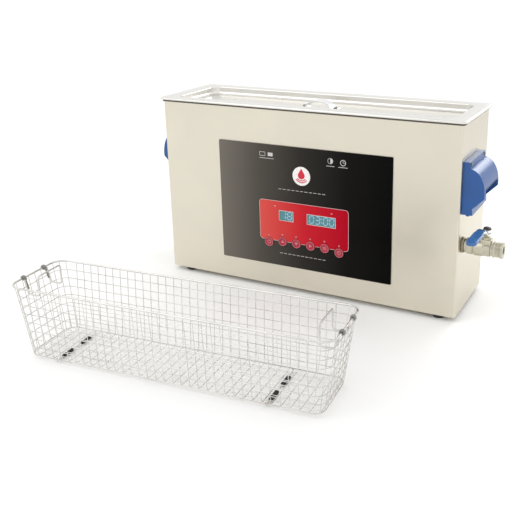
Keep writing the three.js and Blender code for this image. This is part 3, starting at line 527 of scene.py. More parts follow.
def bent(points, radius):
    """A path through points with rounded bends."""
    steps = 4
    corners = [Vector(p) for p in points]
    path = [corners[0]]
    for before, corner, after in zip(corners, corners[1:], corners[2:]):
        into = corner + (before - corner).normalized() * radius
        onward = corner + (after - corner).normalized() * radius
        for i in range(steps + 1):
            t = i / steps
            path.append((1 - t) ** 2 * into + 2 * t * (1 - t) * corner + t * t * onward)
    return path + [corners[-1]]


# Housing

def facing(shape, outline, front, back):
    """An outline of (x, z) points, standing from one depth back to another."""
    return shape.loft([[(x, y, z) for x, z in outline] for y in (front, back)])


def housing_wrap():
    """Front and both ends, folded from one sheet with a small bend radius."""
    bend = FOLD_RADIUS
    outside = [(-HALF, DEPTH)] + arc((-HALF + bend, bend), bend, 180, 270, 6)
    outside += arc((HALF - bend, bend), bend, 270, 360, 6) + [(HALF, DEPTH)]
    inner = bend - SHEET
    inside = [(HALF - SHEET, DEPTH)] + arc((HALF - bend, bend), inner, 360, 270, 6)
    inside += arc((-HALF + bend, bend), inner, 270, 180, 6) + [(-HALF + SHEET, DEPTH)]
    count = len(outside)
    levels = (HOUSING_BOTTOM, HOUSING_TOP)
    shape = Shape()
    rings = [shape.ring((x, y, z) for x, y in outside + inside) for z in levels]
    shape.bridge(*rings)
    for ring, flip in ((rings[0], True), (rings[1], False)):
        out, back = ring[:count], list(reversed(ring[count:]))
        for i in range(len(out) - 1):
            face = (out[i], out[i + 1], back[i + 1], back[i])
            shape.faces.append(tuple(reversed(face)) if flip else face)
    piece("housing_skin", shape, HOUSING_STEEL, "cleaner", ["housing_wrap"],
          bevel=0.25)


def screw_head(shape, place, axis, radius=3.2, height=1.6):
    """A domed pan head; a negative height points it the other way."""
    shares = [(1, 0), (1, 0.25), (0.85, 0.7), (0.55, 0.95), (0.3, 1), (0.28, 0.7)]
    return shape.lathe([(r * radius, h * height) for r, h in shares], place, axis, 20)


def rear_screws():
    """Screws round the rear cover's edge, and four at the fan's corners."""
    shape = Shape()
    for x, z in COVER_SCREWS:
        screw_head(shape, (x, DEPTH, z), "Y")
    fan = cleaner_middle("fan_frame")
    for dx in (-FAN_SCREW_REACH, FAN_SCREW_REACH):
        for dz in (-FAN_SCREW_REACH, FAN_SCREW_REACH):
            screw_head(shape, (fan.x + dx, DEPTH, fan.z + dz), "Y", 2.8)
    piece("rear_cover_screws", shape, SCREW_STEEL, "cleaner")


def bottom_screws():
    shape = Shape()
    for x in BOTTOM_SCREW_X:
        for y in (BOTTOM_SCREW_INSET, DEPTH - BOTTOM_SCREW_INSET):
            screw_head(shape, (x, y, HOUSING_BOTTOM), "Z", 3, -1.5)
    piece("bottom_plate_screws", shape, SCREW_STEEL, "cleaner")


def foot(node):
    """A rubber foot, hollowed a little underneath."""
    middle, top = cleaner_middle(node), cleaner_box(node)[1].z
    profile = [(7.2, 0.6), (8.6, 0), (9.6, 0.5), (10.3, 1.8), (10.5, 3.2)]
    profile += [(10.5, top - 0.6), (10.1, top)]
    shape = Shape().lathe(profile, (middle.x, middle.y, 0))
    piece(f"{node}_rubber", shape, RUBBER, "cleaner", [node])


def make_housing():
    housing_wrap()
    dressed("rear_cover", HOUSING_STEEL, 0.4)
    dressed("bottom_plate", HOUSING_STEEL, 0.4)
    rear_screws()
    bottom_screws()
    for node in frame["nodes"]:
        if node.startswith("foot_"):
            foot(node)


# Tank and lid, both pressed from sheet

BEND_STEPS = 5


def pressed(levels):
    """A sheet pressed to (length, width, corner, height) levels, from its middle to its edge."""
    top, under = [], []
    count = len(levels)
    for i, (length, width, corner, z) in enumerate(levels):
        before, after = levels[max(i - 1, 0)], levels[min(i + 1, count - 1)]
        run, rise = (after[0] - before[0]) / 2, after[3] - before[3]
        size = math.hypot(run, rise)
        out, down = SHEET * rise / size, SHEET * run / size
        middle = (0, MID_DEPTH)
        top.append([(x, y, z) for x, y in rounded(length, width, corner, middle)])
        lower = rounded(length + 2 * out, width + 2 * out, max(corner + out, 1), middle)
        under.append([(x, y, z - down) for x, y in lower])
    return Shape().loft(top + list(reversed(under)))


def turn_in(length, width, corner, z, radius, start, end):
    """Levels round a bend; the arc's middle lies `radius` inside the given outline, at height z."""
    levels = []
    for i in range(BEND_STEPS + 1):
        angle = math.radians(start + (end - start) * i / BEND_STEPS)
        shift, rise = radius * (math.cos(angle) - 1), radius * math.sin(angle)
        levels.append((length + 2 * shift, width + 2 * shift, corner + shift, z + rise))
    return levels


def turn_out(length, width, corner, z, radius):
    """Levels from a wall up and over onto a flat border; the wall has the given outline."""
    levels = []
    for i in range(BEND_STEPS + 1):
        angle = math.radians(90 * i / BEND_STEPS)
        shift, rise = radius * (1 - math.cos(angle)), radius * math.sin(angle)
        levels.append((length + 2 * shift, width + 2 * shift, corner + shift, z + rise))
    return levels


def make_tank():
    wall = (TANK["length"], TANK["width"], TANK["corner"])
    lip = (LENGTH + 2 * FLANGE_OVERHANG, DEPTH + 2 * FLANGE_OVERHANG, FLANGE_CORNER)
    floor, floor_bend, top_bend, lip_bend = TANK["floor"], 8, 2.5, 2
    levels = [(wall[0] - 40, wall[1] - 40, floor_bend, floor)]
    levels += turn_in(*wall, floor + floor_bend, floor_bend, -90, 0)
    levels += turn_out(*wall, FLANGE_TOP - top_bend, top_bend)
    levels += turn_in(*lip, FLANGE_TOP - lip_bend, lip_bend, 90, 0)
    levels.append((*lip, FLANGE_TOP - FLANGE_LIP))
    piece("tank_pressing", pressed(levels), BRIGHT_STEEL, "cleaner", ["tank"])
    # A real seal, darkened as painted shade for the shadow in the gap under the lid's edge.
    dressed("flange_seal", SEAL_RUBBER_AND_SHADE, 0.5)
    dome = [(11, 0.1), (11, 0.9), (9, 1.3), (6, 0.9), (0.4, 0.8)]
    drain = Shape().lathe(dome, (DRAIN_X, VALVE_Y, floor))
    piece("drain_strainer", drain, DARK_STEEL, "cleaner")


def make_lid():
    outline = (LENGTH + 2 * LID_OVERHANG, DEPTH + 2 * LID_OVERHANG, LID_CORNER)
    tray = (TRAY["length"], TRAY["width"], TRAY["corner"])
    floor, floor_bend, top_bend, edge_bend = LID_TOP - TRAY["depth"], 6, 2.2, 2.6
    levels = [(tray[0] - 60, tray[1] - 60, 6, floor), (tray[0] - 12, tray[1] - 12, 12, floor)]
    levels += turn_in(*tray, floor + floor_bend, floor_bend, -90, 0)
    levels += turn_out(*tray, LID_TOP - top_bend, top_bend)
    levels += turn_in(*outline, LID_TOP - edge_bend, edge_bend, 90, 0)
    levels.append((*outline, LID_TOP - LID_SKIRT))
    piece("lid_pressing", pressed(levels), BRIGHT_STEEL, "lid", ["lid"])
    lid_handle(floor + GAP)
    for node in ("lid_screw_left", "lid_screw_right"):
        lid_screw(node)


def lid_handle(low):
    """A strap arched over the fingers, with a flat foot at each end."""
    strap, rise, reach, half, half_width, steps = 2, 14, 24, 33, 10, 24
    turns = [math.pi * (1 - i / steps) for i in range(steps + 1)]
    arch_in = [((reach - strap) * math.cos(a), (rise - strap) * math.sin(a)) for a in turns]
    start = math.asin(strap / rise)
    turns = [start + (math.pi - 2 * start) * i / steps for i in range(steps + 1)]
    arch_out = [(reach * math.cos(a), rise * math.sin(a)) for a in turns]
    outline = [(-half, 0)] + arch_in + [(half, 0), (half, strap)] + arch_out + [(-half, strap)]
    raised = [(x, z + low) for x, z in outline]
    shape = facing(Shape(), raised, MID_DEPTH - half_width, MID_DEPTH + half_width)
    piece("lid_handle_strap", shape, CHROME, "lid", ["lid_handle"], bevel=0.5)


def lid_screw(node):
    """A domed screw with a small recess in its head."""
    low, high = cleaner_box(node)
    middle, top = cleaner_middle(node), high.z
    profile = [(1.5, low.z), (1.5, top - 2), (3.6, top - 2), (3.5, top - 1.2), (2.9, top - 0.4)]
    profile += [(1.8, top), (1.5, top), (1.3, top - 0.9)]
    shape = Shape().lathe(profile, (middle.x, middle.y, 0), sides=28)
    piece(f"{node}_head", shape, SCREW_STEEL, "lid", [node])


# Front controls

DIGIT_BARS = {"0": "abcdef", "1": "bc", "3": "abgcd", "8": "abcdefg"}
DIGIT = {"width": 7.4, "height": 12.6, "stroke": 1.7, "gap": 1.0, "lean": 0.09}
INK = 0.12
INK_SINK = 0.05


def mark(shape, outline, face, proud=INK):
    """A printed mark: a thin outline of (x, z) points on a face of that depth."""
    return facing(shape, outline, face - proud, face + INK_SINK)


def bar(shape, x, z, width, height, face):
    """A printed rectangle about (x, z)."""
    left, right, low, high = x - width / 2, x + width / 2, z - height / 2, z + height / 2
    return mark(shape, [(left, low), (right, low), (right, high), (left, high)], face)


def ring_mark(shape, outside, inside, face, proud=INK, closed=True):
    """A printed band between two outlines with as many points each."""
    front, back = face - proud, face + INK_SINK
    turns = ((outside, front), (inside, front), (inside, back), (outside, back))
    return shape.wrap([[(x, y, z) for x, z in outline] for outline, y in turns], closed)


def circle(x, z, radius, sides=32):
    """Points round a full circle, without repeating the first."""
    return arc((x, z), radius, 0, 360 * (1 - 1 / sides), sides - 1)


def digit(shape, figure, x, z, face):
    """One seven-bar figure, leaning slightly to the right."""
    width, half, tip, lean = DIGIT["width"], DIGIT["height"] / 2, DIGIT["stroke"] / 2, DIGIT["lean"]
    places = {
        "a": (0, half, True), "g": (0, 0, True), "d": (0, -half, True),
        "b": (width / 2, half / 2, False), "c": (width / 2, -half / 2, False),
        "f": (-width / 2, half / 2, False), "e": (-width / 2, -half / 2, False),
    }
    for name in DIGIT_BARS[figure]:
        dx, dz, flat = places[name]
        reach = ((width if flat else half) - DIGIT["gap"]) / 2
        outline = [(-reach, 0), (-reach + tip, -tip), (reach - tip, -tip), (reach, 0)]
        outline += [(reach - tip, tip), (-reach + tip, tip)]
        laid = outline if flat else [(-b, a) for a, b in outline]
        mark(shape, [(x + dx + a + lean * (dz + b), z + dz + b) for a, b in laid], face)


def display_figures():
    """Generic figures: two on the temperature display, and four with a colon on the timer."""
    left, right = cleaner_middle("temperature_display"), cleaner_middle("timer_display")
    face = cleaner_box("timer_display")[0].y
    shape = Shape()
    for figure, x in zip("18", (-5.6, 5.6)):
        digit(shape, figure, left.x + x, left.z, face)
    for figure, x in zip("0300", (-18, -7, 7.4, 18.4)):
        digit(shape, figure, right.x + x, left.z, face)
    for z in (-3, 3):
        bar(shape, right.x, left.z + z, 1.7, 1.7, face)
    piece("display_figures", shape, LCD_DIGIT, "cleaner")


def window_frames():
    """Thin bright bezels in the two display windows."""
    shape = Shape()
    for node in ("temperature_display", "timer_display"):
        low, high = cleaner_box(node)
        middle = ((low.x + high.x) / 2, (low.z + high.z) / 2)
        width, height, corner = high.x - low.x, high.z - low.z, 0.6
        outside = rounded(width + 0.5, height + 0.5, corner, middle, 3)
        inside = rounded(width - 1.2, height - 1.2, corner, middle, 3)
        ring_mark(shape, outside, inside, PANEL_FACE, 1.1)
    piece("window_frames", shape, CHROME, "cleaner")


def emblem(x):
    """A pale round badge with a drop over two ripples."""
    thickness = 0.2
    disc = mark(Shape(), circle(x, BADGE_HEIGHT, 16, 48), PANEL_FACE, thickness)
    piece("badge_disc", disc, WHITE_INK, "cleaner")
    red = Shape()
    face, middle = PANEL_FACE - thickness, (x, BADGE_HEIGHT + 1)
    mark(red, arc(middle, 6.2, 150, 390, 20) + [(x, BADGE_HEIGHT + 13)], face)
    for reach in (9.5, 12.5):
        outside, inside = arc(middle, reach, 215, 325, 14), arc(middle, reach - 1.6, 325, 215, 14)
        mark(red, outside + inside, face)
    piece("badge_drop", red, RED_INK, "cleaner")


def panel_signs(shape, middle):
    """A tank and a filled bar at the upper left, and a half disc and a clock at the upper right."""
    face, z = PANEL_FACE, SIGN_HEIGHT
    tank_x, disc_x, clock_x, clock_z = middle - 72, middle + 52, middle + 74, z - 1
    bar(shape, middle - 57, z, 9, 6, face)
    outside, inside = rounded(11, 7, 1.2, (tank_x, z), 3), rounded(9.6, 5.6, 0.6, (tank_x, z), 3)
    ring_mark(shape, outside, inside, face)
    bar(shape, middle - 64, SIGN_RULE_HEIGHTS[0], 27, RULE, face)
    mark(shape, arc((disc_x, z), 4.4, -90, 90, 14), face)
    ring_mark(shape, circle(disc_x, z, 4.8), circle(disc_x, z, 4.2), face)
    ring_mark(shape, circle(clock_x, clock_z, 5), circle(clock_x, clock_z, 4), face)
    bar(shape, clock_x, clock_z + 1.8, RULE, 3.6, face)
    bar(shape, clock_x + 1.4, clock_z, 3.2, RULE, face)
    bar(shape, disc_x, SIGN_RULE_HEIGHTS[1], 14, RULE, face)
    bar(shape, clock_x, SIGN_RULE_HEIGHTS[1], 16, RULE, face)


def panel_marks(middle):
    """The signs in the upper corners, and two dashed rules."""
    shape = Shape()
    panel_signs(shape, middle)
    for x in range(-40, 41, 8):
        for z in DASH_HEIGHTS:
            bar(shape, middle + x, z, 5.5, RULE, PANEL_FACE)
    piece("panel_marks", shape, PALE_INK, "cleaner")


def faceplate_outline(keys):
    """A pale line round the control plate, broken where the keys cross its lower edge."""
    low, high = cleaner_box("control_faceplate")
    middle = ((low.x + high.x) / 2, (low.z + high.z) / 2)
    width, height = high.x - low.x, high.z - low.z
    corner, line, clear = 6, 0.6, 9.2
    outside = rounded(width, height, corner, middle)
    inside = rounded(width - 2 * line, height - 2 * line, corner - line, middle)
    shape = ring_mark(Shape(), outside, inside, FACEPLATE_FACE, closed=False)
    gaps = [(x, math.sqrt(clear ** 2 - (z - low.z) ** 2)) for x, z in keys]
    starts = [low.x + corner] + [x + gap for x, gap in gaps]
    ends = [x - gap for x, gap in gaps] + [high.x - corner]
    for start, end in zip(starts, ends):
        bar(shape, (start + end) / 2, low.z + line / 2, end - start, line, FACEPLATE_FACE)
    for x in (-PLATE_DASH_REACH, PLATE_DASH_REACH):
        bar(shape, middle[0] + x, middle[1] + PLATE_DASH_RISE, 2.4, 1.2, FACEPLATE_FACE)
    piece("faceplate_outline", shape, PALE_INK, "cleaner")


def key_symbol(shape, index, x, z, face):
    """A plain sign on each key: power, up, down, start, heat and clock."""
    if index == 0:
        ring_mark(shape, arc((x, z), 3.4, 130, 410, 20), arc((x, z), 2.6, 130, 410, 20), face)
        bar(shape, x, z + 2.6, 0.9, 3.6, face)
    elif index in (1, 2):
        way = 1 if index == 1 else -1
        arrow = [(x - 3.2, z - way * 2), (x + 3.2, z - way * 2), (x, z + way * 2.8)]
        mark(shape, arrow[::way], face)
    elif index == 3:
        mark(shape, [(x - 2.2, z - 3), (x + 3.2, z), (x - 2.2, z + 3)], face)
    elif index == 4:
        for dx in (-2.2, 0, 2.2):
            bar(shape, x + dx, z, 0.9, 5.6, face)
    else:
        ring_mark(shape, circle(x, z, 3.4), circle(x, z, 2.6), face)
        bar(shape, x, z + 1, 0.8, 2.4, face)


def button(index):
    """A dished key with a printed ring and sign; gives back its place on the plate."""
    node = f"button_{index + 1}"
    low, high = cleaner_box(node)
    x, z, radius = (low.x + high.x) / 2, (low.z + high.z) / 2, (high.x - low.x) / 2
    front = low.y
    profile = [(radius, KEY_BACK), (radius, front + 0.7), (radius - 0.4, front + 0.1)]
    profile += [(radius - 0.9, front), (radius - 1.5, front + 0.25), (radius - 2.2, front + 0.45)]
    profile += [(0.4, front + 0.3)]
    shape = Shape().lathe(profile, (x, 0, z), "Y", 40)
    piece(f"{node}_key", shape, KEY_RED, node, [node])
    outside, inside = circle(x, z, radius - 0.55, 40), circle(x, z, radius - 1.15, 40)
    signs = ring_mark(Shape(), outside, inside, front + 0.05)
    key_symbol(signs, index, x, z, front + 0.42)
    piece(f"{node}_sign", signs, KEY_INK, node)
    return x, z


def indicator_lights(places):
    """A small lens above each key."""
    shape = Shape()
    dome = [(1.5, 0), (1.4, -0.5), (0.8, -0.9), (0.2, -1)]
    for x, z in places:
        shape.lathe(dome, (x, FACEPLATE_FACE, z + 12), "Y", 20)
    piece("indicator_lights", shape, KEY_INK, "cleaner")


def make_controls():
    dressed("front_panel", PANEL_BLACK, 0.3)
    dressed("control_faceplate", PANEL_RED, 0.25)
    for node in ("temperature_display", "timer_display"):
        dressed(node, LCD, 0.3)
    display_figures()
    window_frames()
    middle = cleaner_middle("front_panel").x + MARKS_SHIFT
    emblem(middle)
    panel_marks(middle)
    keys = [button(index) for index in range(KEY_COUNT)]
    faceplate_outline(keys)
    indicator_lights(keys)


# Carrying handles and the back

def lip_painted_shade(end, low, high):
    """A dark strip along the hood's open lip, up one cheek, over the fingers and down the other:
    painted shade for the shadow inside the hood.
    """
    radius = 1.6
    out = end * (HALF + HOOD["reach"] - radius - 0.2)
    inset = radius + 0.8
    corners = [(out, low + inset, HOOD["lip"]), (out, low + inset, HOOD["opening"])]
    corners += [(out, high - inset, HOOD["opening"]), (out, high - inset, HOOD["lip"])]
    return Shape().tube(bent(corners, 6), radius, 10)


def make_carry_handles():
    for side, end in (("right", 1), ("left", -1)):
        node = f"carry_handle_{side}"
        low, high = cleaner_box(node)
        dressed(node, BLUE, 1.6)
        # A dark navy strip under the hood's lip stands in for the shadow inside the hood: painted
        # shade.
        shade_strip = lip_painted_shade(end, low.y, high.y)
        piece(f"{node}_lip", shade_strip, BLUE_PAINTED_SHADE, "cleaner")
        shape, inset = Shape(), GRIP_INSETS
        for y in (low.y + inset["side"], high.y - inset["side"]):
            for z in (low.z + inset["low"], high.z - inset["high"]):
                place = (end * (HALF + GRIP_SCREW_SEAT), y, z)
                screw_head(shape, place, "X", 2.6, end * 1.2)
        piece(f"{node}_screws", shape, SCREW_STEEL, "cleaner")


def make_back():
    bevels = {"fan_frame": 0.5, "power_inlet": 0.6, "switch_bezel": 0.6, "switch_rocker": 0.8}
    for node, bevel in bevels.items():
        dressed(node, BLACK, bevel)
    paint(BLACK, "fan_rotor")


# Drain valve

def turned(shape, profile, angles):
    """A form about the valve's axis, from (x, radius) pairs that close on themselves."""
    rings = []
    for x, radius in profile:
        rings.append([(x, VALVE_Y + y, VALVE_Z + z) for y, z in polar(radius, angles)])
    return shape.wrap(rings)


def tubular(profile):
    return turned(Shape(), profile, turn_angles(56))


def hexagon(shape, start, end, across, bore):
    """A hexagonal nut about the valve's axis."""
    corner = across / math.sqrt(3)
    profile = [(start, bore), (start, corner), (end, corner), (end, bore)]
    return turned(shape, profile, [math.pi / 6 + a for a in turn_angles(6)])


def wall_flange():
    low, high = HALF + GAP, WALL_FLANGE_END
    profile = [(low, 9.3), (low, 12), (low + 0.5, 12.4), (low + 2.2, 12.4), (low + 2.8, 11.9)]
    profile += [(high, 11.4), (high, 9.3)]
    piece("wall_flange_turned", tubular(profile), BRONZE, "cleaner", ["wall_flange"])


def valve_body():
    """A turned barrel with spanner flats at both ends, and a boss for the stem on top."""
    start, end = WALL_FLANGE_END + GAP, VALVE_END
    barrel = [(start, PIPE_BORE), (start, 10.6), (start + 0.6, 11.2), (283, 11.2), (285, 12.6)]
    barrel += [(287, 13.2), (298, 13.2), (299, 12.2), (309.5, 12.2), (310, 10.6), (end, 10.5)]
    barrel += [(end, PIPE_BORE)]
    piece("valve_barrel", tubular(barrel), NICKEL, "cleaner", ["valve_body"])
    flats = hexagon(Shape(), 272.5, 282.5, 23, 10.8)
    hexagon(flats, 299.6, 309.2, 23.2, 11.8)
    piece("valve_flats", flats, NICKEL, "cleaner", bevel=0.6)
    outline = rounded(17, 17, 3, (BALL_X, VALVE_Y), 5)
    boss = Shape().prism(outline, VALVE_Z + 9, VALVE_Z + 15.5)
    boss.lathe([(7, 15), (7, 18), (6.4, 18.6), (4.4, 18.6)], (BALL_X, VALVE_Y, VALVE_Z))
    piece("valve_boss", boss, NICKEL, "cleaner", bevel=0.6)


def outlet():
    """A union ring with a ribbed grip and a plain bore."""
    start, end = OUTLET_END - 15.7, OUTLET_END
    valley, ridge, collar = 11.5, 11.9, 12.5
    profile = [(start, PIPE_BORE), (start, ridge), (start + 0.6, collar), (start + 2.6, collar)]
    profile += [(start + 3.2, ridge), (start + 3.8, valley)]
    for i in range(4):
        x = start + 4.4 + 1.6 * i
        profile += [(x, valley), (x + 0.4, ridge), (x + 0.8, ridge), (x + 1.2, valley)]
    profile += [(end - 4.4, ridge), (end - 3.8, collar), (end - 0.7, collar), (end, 11.8)]
    profile += [(end, 7.1), (end - 0.6, PIPE_BORE)]
    piece("outlet_turned", tubular(profile), NICKEL, "cleaner", ["outlet_spigot"])


def lever():
    """A steel strip, cranked beyond its hub, with a dipped vinyl grip."""
    low, high = cleaner_box("valve_lever")
    dressed("valve_lever", CHROME, 0.5)
    tip, root, half, neck = low.y - 0.6, VALVE_Y - 44, 7.6, 6
    side = [(half, root - 9), (neck, root), (neck - 0.6, root + 4)]
    outline = [(-x, y) for x, y in reversed(side)]
    outline += arc((0, tip + half), half, 180, 360, 12) + side
    shape = Shape().prism([(BALL_X + x, y) for x, y in outline], high.z - 3.7, high.z + 1.2)
    piece("lever_grip", shape, VINYL, "drain_valve", bevel=1.2)


def lever_nut():
    """A bright nut that holds the lever, under a dark cap."""
    low, high = cleaner_box("lever_nut")
    nut = Shape().prism(circle(BALL_X, VALVE_Y, 6.9, 6), low.z, low.z + 5)
    piece("stem_nut", nut, CHROME, "drain_valve", ["lever_nut"], bevel=0.5)
    rise = high.z - low.z
    dome = [(6.2, 5.1), (6.2, rise - 2), (5.6, rise - 0.9), (4.2, rise - 0.2), (2, rise)]
    cap = Shape().lathe(dome, (BALL_X, VALVE_Y, low.z))
    piece("stem_cap", cap, BLACK, "drain_valve")


def make_drain():
    wall_flange()
    valve_body()
    outlet()
    lever()
    lever_nut()
    paint(NICKEL, "drain_elbow", "valve_stem")
    paint(CHROME, "valve_ball")


# Basket

def wall_outline(share):
    """The basket's outline at a share of its height, from 0 at the floor to 1 at the rim."""
    inset = RIM["wire"] + 2
    length = FLOOR["length"] + share * (RIM["length"] - inset - FLOOR["length"])
    width = FLOOR["width"] + share * (RIM["width"] - inset - FLOOR["width"])
    corner = RIM["corner"] - 4 + 3 * share
    return rounded(length, width, corner, steps=CORNER_STEPS)


def wall_height(share):
    low = FLOOR["height"] + WIRE
    return low + share * (RIM_LINE - low)


def wire(shape, path):
    return shape.tube([Vector(p) for p in path], WIRE, 6)


def corner_wires(shape):
    """Wires that fan round the four corners, from the rim down to the floor's edge."""
    top, bottom = wall_outline(1), wall_outline(0)
    for start in range(0, len(top), CORNER_STEPS + 1):
        for i in range(start + 1, start + CORNER_STEPS, 2):
            wire(shape, [(*top[i], wall_height(1)), (*bottom[i], wall_height(0))])


def basket_cross_mesh():
    """Wires that run down the front wall, across the floor and up the back wall."""
    shape = Shape()
    top, bottom = (RIM["width"] - RIM["wire"]) / 2 - 1, FLOOR["width"] / 2
    high, low = wall_height(1), wall_height(0)
    for i in range(-CROSS_WIRES, CROSS_WIRES + 1):
        x = i * PITCH
        wire(shape, bent([(x, -top, high), (x, -bottom, low), (x, bottom, low), (x, top, high)], 6))
    end, reach = (CROSS_WIRES + 1) * PITCH, bottom - 5.5
    for x in (-end, end):
        wire(shape, [(x, -reach, low), (x, reach, low)])
    corner_wires(shape)
    piece("basket_cross_wires", shape, WIRE_STEEL, "basket",
          ["basket_mesh_front", "basket_mesh_back"], BASKET)


def basket_long_mesh():
    """Wires that run down one end wall, along the floor and up the other end wall."""
    shape = Shape()
    top, bottom = (RIM["length"] - RIM["wire"]) / 2 - 1, FLOOR["length"] / 2
    high, low = wall_height(1), wall_height(0) + 2 * WIRE
    for i in range(-LONG_WIRES, LONG_WIRES + 1):
        y = i * PITCH
        wire(shape, bent([(-top, y, high), (-bottom, y, low), (bottom, y, low), (top, y, high)], 6))
    side, reach = (LONG_WIRES + 1) * PITCH, bottom - 6
    for y in (-side, side):
        wire(shape, [(-reach, y, low), (reach, y, low)])
    piece("basket_long_wires", shape, WIRE_STEEL, "basket",
          ["basket_mesh_left", "basket_mesh_right", "basket_mesh_floor"], BASKET)


def basket_hoops():
    """Wires that run level round the four walls, the lowest a little thicker."""
    shape = Shape()
    for i in range(HOOPS):
        share = i / HOOPS
        path = [Vector((x, y, wall_height(share))) for x, y in wall_outline(share)]
        shape.tube(path, WIRE * (1.5 if i == 0 else 1), 6, closed=True)
    piece("basket_hoops", shape, WIRE_STEEL, "basket", where=BASKET)


def basket_rim():
    thick = RIM["wire"]
    corner = RIM["corner"] - thick / 2
    outline = rounded(RIM["length"] - thick, RIM["width"] - thick, corner, steps=10)
    path = [Vector((x, y, RIM_LINE)) for x, y in outline]
    shape = Shape().tube(path, thick / 2, 12, closed=True)
    piece("basket_rim_wire", shape, WIRE_STEEL, "basket", ["basket_rim"], BASKET)


def coil(shape, middle, radius, thickness, turns, pitch):
    """Turns of wire about an axis along Y; the thickness is the wire's own radius."""
    steps = 14
    path = []
    for i in range(round(turns * steps) + 1):
        angle = 2 * math.pi * i / steps
        x, z = radius * math.cos(angle), radius * math.sin(angle)
        path.append(Vector(middle) + Vector((x, pitch * (i / steps - turns / 2), z)))
    shape.tube(path, thickness, 6)


def basket_handle(side, way):
    """A bent wire loop, and the two coils that hinge it on the rim's end."""
    body = f"basket_handle_{side}"
    x, z = way * (RIM["length"] - RIM["wire"]) / 2, RIM_LINE
    corners = [(x + way * dx, -HANDLE_SPREAD, z + dz) for dx, dz in HANDLE_HALF]
    corners += [(x + way * dx, HANDLE_SPREAD, z + dz) for dx, dz in reversed(HANDLE_HALF)]
    loop = Shape().tube(bent(corners, 5), HANDLE_WIRE, 10)
    piece(f"{body}_loop", loop, WIRE_STEEL, body, [body], BASKET)
    hooks = Shape()
    for y in (HOOK_INSET - HANDLE_SPREAD, HANDLE_SPREAD - HOOK_INSET):
        coil(hooks, (x, y, z), **HOOK_COIL)
        tail = [Vector((x + way * dx, y, z + dz)) for dx, dz in HOOK]
        hooks.tube(tail, HOOK_COIL["thickness"], 8)
    # The hooks are drawn in the darker screw steel, darker than the basket's other wires.
    piece(f"{body}_hooks", hooks, SCREW_STEEL, body, where=BASKET)


def sleeve_profile():
    """A ribbed sleeve's (radius, y) pairs, from its bore out and back."""
    half, bore, ribs = SLEEVE["half"], SLEEVE["bore"], SLEEVE["ribs"]
    profile = [(bore, -half)]
    for i in range(ribs):
        start = -half + 2 * half * i / ribs
        profile += [(2.6, start), (3, start + 0.5), (3, start + 2.1), (2.6, start + 2.6)]
    return profile + [(2.6, half), (bore, half)]


def sleeve(node):
    """A rubber sleeve that the basket stands on."""
    low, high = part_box(node)
    place = BASKET.inverted() @ ((low + high) / 2)
    rings = []
    for radius, y in sleeve_profile():
        flat = polar(radius, turn_angles(20))
        rings.append([(place.x + x, place.y + y, place.z + z) for x, z in flat])
    shape = Shape().wrap(rings)
    piece(f"{node}_rubber", shape, RUBBER, "basket", [node], BASKET)


def cross_wires():
    for side in ("left", "right"):
        paint(WIRE_STEEL, f"cross_wire_{side}")
        for end in ("front", "back"):
            sleeve(f"sleeve_{side}_{end}")


def make_basket():
    basket_rim()
    basket_cross_mesh()
    basket_long_mesh()
    basket_hoops()
    basket_handle("right", 1)
    basket_handle("left", -1)
    cross_wires()


# What is inside the housing

def paint_inside():
    paint(ALUMINIUM, *(f"transducer_{i}" for i in range(1, 5)), "temperature_sensor")
    paint(SILICONE, "heater_pad")
    paint(BOARD, "control_board", "generator_board")


# Stage

FLOOR_REACH = 400
ROOM_COLOR, ROOM_STRENGTH = (1.0, 1.0, 0.995), 1.05
CAMERA_EYE = Vector((550.4, -1077.5, 546.3))
CAMERA_AZIMUTH, CAMERA_ELEVATION = math.radians(26.82), math.radians(16.67)
CAMERA_ROLL = math.radians(-0.76)
CAMERA_SENSOR, CAMERA_LENS = 36, 54.456
CAMERA_SHIFT = (-0.0961, -0.1274)
CAMERA_BACK = Vector((
    math.sin(CAMERA_AZIMUTH) * math.cos(CAMERA_ELEVATION),
    -math.cos(CAMERA_AZIMUTH) * math.cos(CAMERA_ELEVATION),
    math.sin(CAMERA_ELEVATION),
))


def make_floor():
    """A pale floor that runs on past the horizon, in metres."""
    n = Nodes("floor_finish", (0.98, 0.98, 0.975), 0.6)
    n.color(n.ramp(n.noise(3, 2), (0.3, (0.975, 0.975, 0.97)), (0.7, (0.985, 0.985, 0.98))))
    mesh = bpy.data.meshes.new("floor")
    r = FLOOR_REACH
    mesh.from_pydata([(-r, -r, 0), (r, -r, 0), (r, r, 0), (-r, r, 0)], [], [(0, 1, 2, 3)])
    mesh.materials.append(n.material)
    floor = bpy.data.objects.new("floor", mesh)
    bpy.context.scene.collection.objects.link(floor)


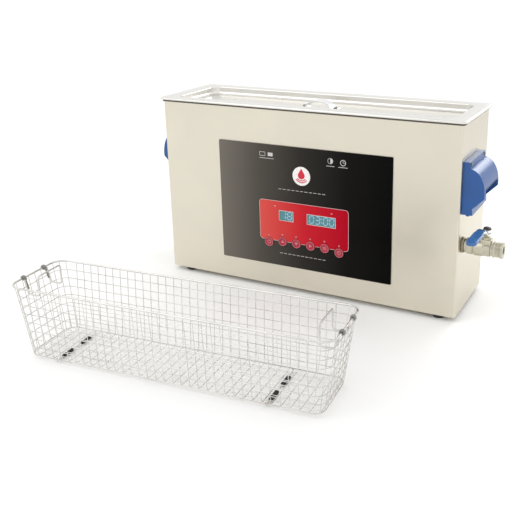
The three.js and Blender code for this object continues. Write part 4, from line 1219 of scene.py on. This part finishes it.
def area_light(name, place, target, size, power, color=(1, 1, 1)):
    """A square lamp turned towards a target."""
    lamp = bpy.data.lights.new(name, "AREA")
    lamp.shape = "RECTANGLE"
    lamp.size = lamp.size_y = size
    lamp.energy = power
    lamp.color = color
    thing = bpy.data.objects.new(name, lamp)
    thing.location = place
    thing.rotation_euler = (Vector(target) - Vector(place)).to_track_quat("-Z", "Y").to_euler()
    bpy.context.scene.collection.objects.link(thing)


def make_lights():
    """An even white room, a soft key from the left, a cool fill, and a lamp behind the handle."""
    world = bpy.data.worlds.new("studio")
    world.use_nodes = True
    background = world.node_tree.nodes["Background"]
    background.inputs["Color"].default_value = (*ROOM_COLOR, 1)
    background.inputs["Strength"].default_value = ROOM_STRENGTH
    bpy.context.scene.world = world
    area_light("key", (-1.3, -1.6, 2.2), (0, 0, 0.1), size=1.6, power=11)
    area_light("right_fill", (2.0, -0.4, 1.3), (0.1, 0.1, 0.15), size=1.4, power=1,
               color=(0.8, 0.9, 1.0))
    area_light("rear_strip", (0.40, 0.93, 0.60), (0.27, 0.16, 0.235), size=0.4, power=2)


def make_camera():
    across = Vector((0, 0, 1)).cross(CAMERA_BACK).normalized()
    up = CAMERA_BACK.cross(across)
    right = math.cos(CAMERA_ROLL) * across + math.sin(CAMERA_ROLL) * up
    top = math.cos(CAMERA_ROLL) * up - math.sin(CAMERA_ROLL) * across
    data = bpy.data.cameras.new("camera")
    data.sensor_width = CAMERA_SENSOR
    data.lens = CAMERA_LENS
    data.shift_x, data.shift_y = CAMERA_SHIFT
    data.clip_end = 1000
    camera = bpy.data.objects.new("camera", data)
    turn = Matrix((right, top, CAMERA_BACK)).transposed().to_4x4()
    camera.matrix_world = Matrix.Translation(CLEANER @ CAMERA_EYE) @ turn
    bpy.context.scene.collection.objects.link(camera)
    bpy.context.scene.camera = camera


make_camera()
make_floor()
make_lights()
make_housing()
make_tank()
make_lid()
make_controls()
make_carry_handles()
make_back()
make_drain()
make_basket()
paint_inside()

bpy.context.scene.view_settings.view_transform = "Standard"
